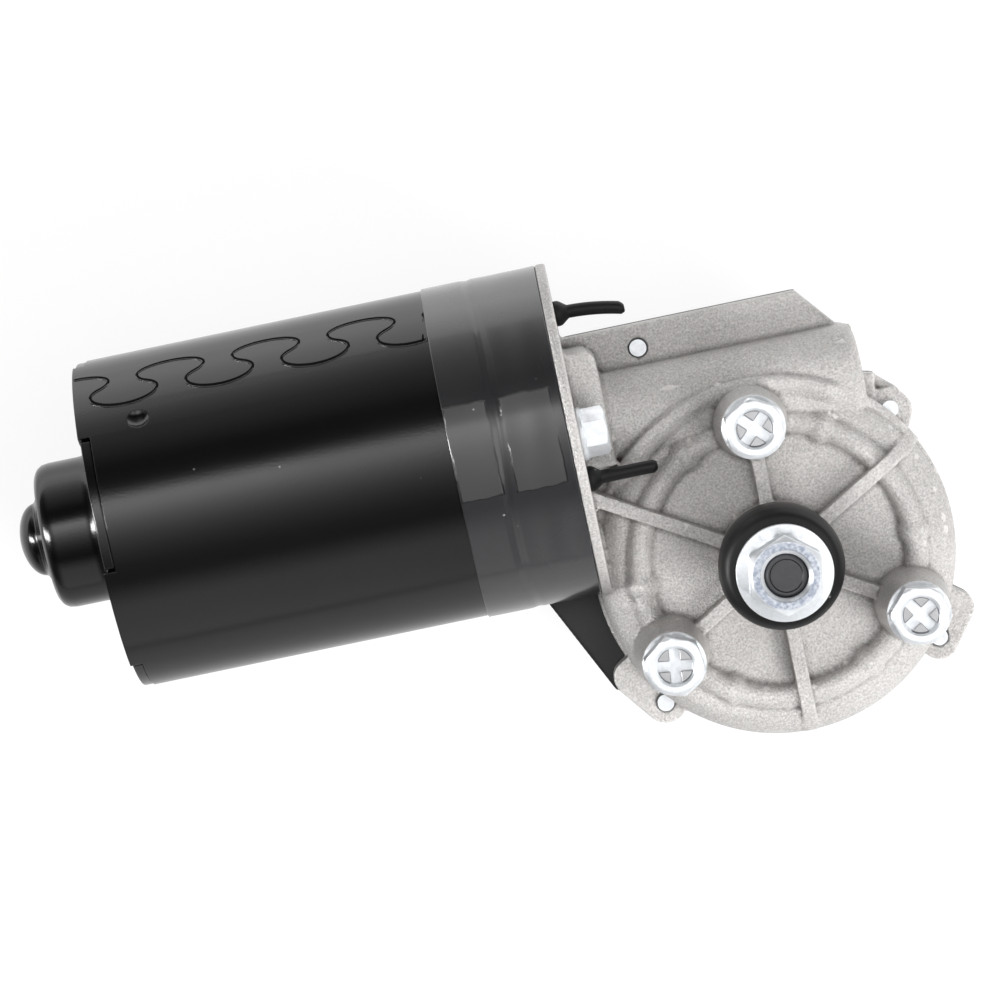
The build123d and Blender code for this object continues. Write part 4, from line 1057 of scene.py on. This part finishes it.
class MOTOR_OT_stage(bpy.types.Operator):
    """Sets the floor, the studio light and the camera"""

    bl_idname = "motor.stage"
    bl_label = "Stage"

    def floor(self, tone):
        bm = bmesh.new()
        bmesh.ops.create_grid(bm, x_segments=1, y_segments=1, size=4.0)
        bmesh.ops.translate(bm, verts=bm.verts, vec=(0, 0, FLOOR_HEIGHT - 0.2 * MM))
        mesh = bpy.data.meshes.new("floor")
        bm.to_mesh(mesh)
        bm.free()
        floor = link_object("floor", mesh)
        material = bpy.data.materials.new("pale_floor")
        tree = empty_tree(material)
        values = {"Base Color": (*tone, 1.0), "Roughness": 0.9, "Specular IOR Level": 0.1}
        matt = put(tree, "ShaderNodeBsdfPrincipled", values)
        across = split(tree, surface_place(tree))["Y"]
        near = spread(tree, across, -0.05, 0.06, 0.3, 1.4)
        mirrored = product(tree, near, spread(tree, across, 0.09, 0.15, 1.0, 1.8))
        path = put(tree, "ShaderNodeLightPath").outputs
        strength = mix_numbers(tree, path["Is Camera Ray"], mirrored, GLOW)
        glow = put(tree, "ShaderNodeEmission", {"Color": (1, 1, 1, 1), "Strength": strength})
        in_view = product(tree, path["Is Camera Ray"], GLOW_SEEN)
        seen = math(tree, "MAXIMUM", in_view, product(tree, path["Is Glossy Ray"], GLOW_MIRRORED))
        mixed = put(tree, "ShaderNodeMixShader", {0: seen, 1: matt.outputs[0], 2: glow.outputs[0]})
        put(tree, "ShaderNodeOutputMaterial", {"Surface": mixed.outputs[0]})
        mesh.materials.append(material)

    def world(self, brightness):
        """A long softbox overhead that brightens towards its far edge, and a dim room round it."""
        world = bpy.data.worlds.new("studio")
        tree = empty_tree(world)
        parts = split(tree, put(tree, "ShaderNodeTexCoord").outputs["Generated"])
        tilt = math(tree, "ARCTAN2", parts["Y"], parts["Z"])
        over = spread(tree, tilt, radians(-90), radians(90), 0.0, 1.0)
        profile = put(tree, "ShaderNodeFloatCurve", {"Value": over})
        curve = profile.mapping.curves[0]
        for angle, level in SOFTBOX_PROFILE[1:-1]:
            curve.points.new((angle + 90) / 180, level)
        curve.points[0].location = (0, SOFTBOX_PROFILE[0][1])
        curve.points[len(SOFTBOX_PROFILE) - 1].location = (1, SOFTBOX_PROFILE[-1][1])
        for point in curve.points:
            point.handle_type = "VECTOR"
        profile.mapping.update()
        fall = spread(tree, parts["X"], -0.075, 0.06, 1.25, 0.6)
        ends = spread(tree, math(tree, "ABSOLUTE", parts["X"], 0.0), 0.80, 0.93, 1.0, 0.0)
        rear = spread(tree, parts["X"], -0.6, -0.3, 0.15, 1.0)
        boxed = product(tree, profile.outputs[0], fall, rear)
        level = product(tree, mix_numbers(tree, ends, 0.10, boxed), brightness)
        path = put(tree, "ShaderNodeLightPath").outputs
        strength = math(tree, "MAXIMUM", path["Is Camera Ray"], level)
        shown = put(tree, "ShaderNodeBackground", {"Color": (1, 1, 1, 1), "Strength": strength})
        put(tree, "ShaderNodeOutputWorld", {"Surface": shown.outputs[0]})
        bpy.context.scene.world = world

    def lamp(self, name, place, target, width, height, power, shown=True, diffuse=True):
        light = bpy.data.lights.new(name, "AREA")
        light.shape = "RECTANGLE"
        light.size = width
        light.size_y = height
        light.energy = power
        lamp = link_object(name, light)
        lamp.location = place
        lamp.rotation_euler = (Vector(target) - Vector(place)).to_track_quat("-Z", "Y").to_euler()
        lamp.visible_glossy = shown
        lamp.visible_diffuse = diffuse

    def camera(self):
        eye = bpy.data.cameras.new("camera")
        eye.lens = LENS
        eye.sensor_width = 36.0
        eye.clip_start = 0.01
        camera = link_object("camera", eye)
        turn = Matrix.Identity(4)
        for degrees, axis in CAMERA_TURNS:
            turn = turn @ Matrix.Rotation(radians(degrees), 4, axis)
        camera.matrix_world = turn.transposed() @ Matrix.Translation(CAMERA_PLACE)
        bpy.context.scene.camera = camera

    def execute(self, context):
        stage = context.scene.motor_stage
        self.floor(stage.floor)
        self.world(stage.studio_brightness)
        middle = (-0.03, 0.015, -0.02)
        self.lamp("corner_box", (0.40, -0.50, 0.45), middle, 0.4, 0.4, stage.corner_power, shown=False)
        self.lamp("fill_box", (0.15, -0.15, 0.90), middle, 0.8, 0.8, stage.fill_power, shown=False)
        self.lamp("right_box", (0.34, -0.05, 0.76), middle, 0.6, 0.6, stage.box_power)
        self.lamp("left_strip", (-0.75, 0.10, 0.35), middle, 0.12, 0.5, stage.side_power, diffuse=False)
        self.camera()
        context.scene.view_settings.view_transform = "Standard"
        return {"FINISHED"}


class MOTOR_PT_panel(bpy.types.Panel):
    """Lists the steps that dress the motor"""

    bl_label = "Wiper Motor"
    bl_idname = "MOTOR_PT_panel"
    bl_space_type = "VIEW_3D"
    bl_region_type = "UI"
    bl_category = "Wiper Motor"

    def draw(self, context):
        for operator in OPERATORS:
            self.layout.operator(operator.bl_idname)
        for group in (context.scene.motor_sizes, context.scene.motor_colours, context.scene.motor_stage):
            for field in group.__annotations__:
                self.layout.prop(group, field)


OPERATORS = (
    MOTOR_OT_finishes,
    MOTOR_OT_castings,
    MOTOR_OT_mounting_bolts,
    MOTOR_OT_shaft_nut,
    MOTOR_OT_tie_screws,
    MOTOR_OT_seam,
    MOTOR_OT_rear_bell,
    MOTOR_OT_dust_cap,
    MOTOR_OT_vent_pipes,
    MOTOR_OT_seal_film,
    MOTOR_OT_brush_springs,
    MOTOR_OT_stage,
)
CLASSES = (MotorSizes, MotorColours, StageSettings) + OPERATORS + (MOTOR_PT_panel,)


def register():
    for item in CLASSES:
        bpy.utils.register_class(item)
    bpy.types.Scene.motor_sizes = PointerProperty(type=MotorSizes)
    bpy.types.Scene.motor_colours = PointerProperty(type=MotorColours)
    bpy.types.Scene.motor_stage = PointerProperty(type=StageSettings)


def unregister():
    del bpy.types.Scene.motor_stage
    del bpy.types.Scene.motor_colours
    del bpy.types.Scene.motor_sizes
    for item in reversed(CLASSES):
        bpy.utils.unregister_class(item)


def main():
    register()
    bpy.ops.motor.finishes()
    bpy.ops.motor.castings()
    bpy.ops.motor.mounting_bolts()
    bpy.ops.motor.shaft_nut()
    bpy.ops.motor.tie_screws()
    bpy.ops.motor.seam()
    bpy.ops.motor.rear_bell()
    bpy.ops.motor.dust_cap()
    bpy.ops.motor.vent_pipes()
    bpy.ops.motor.seal_film()
    bpy.ops.motor.brush_springs()
    bpy.ops.motor.stage()


if __name__ == "__main__":
    main()
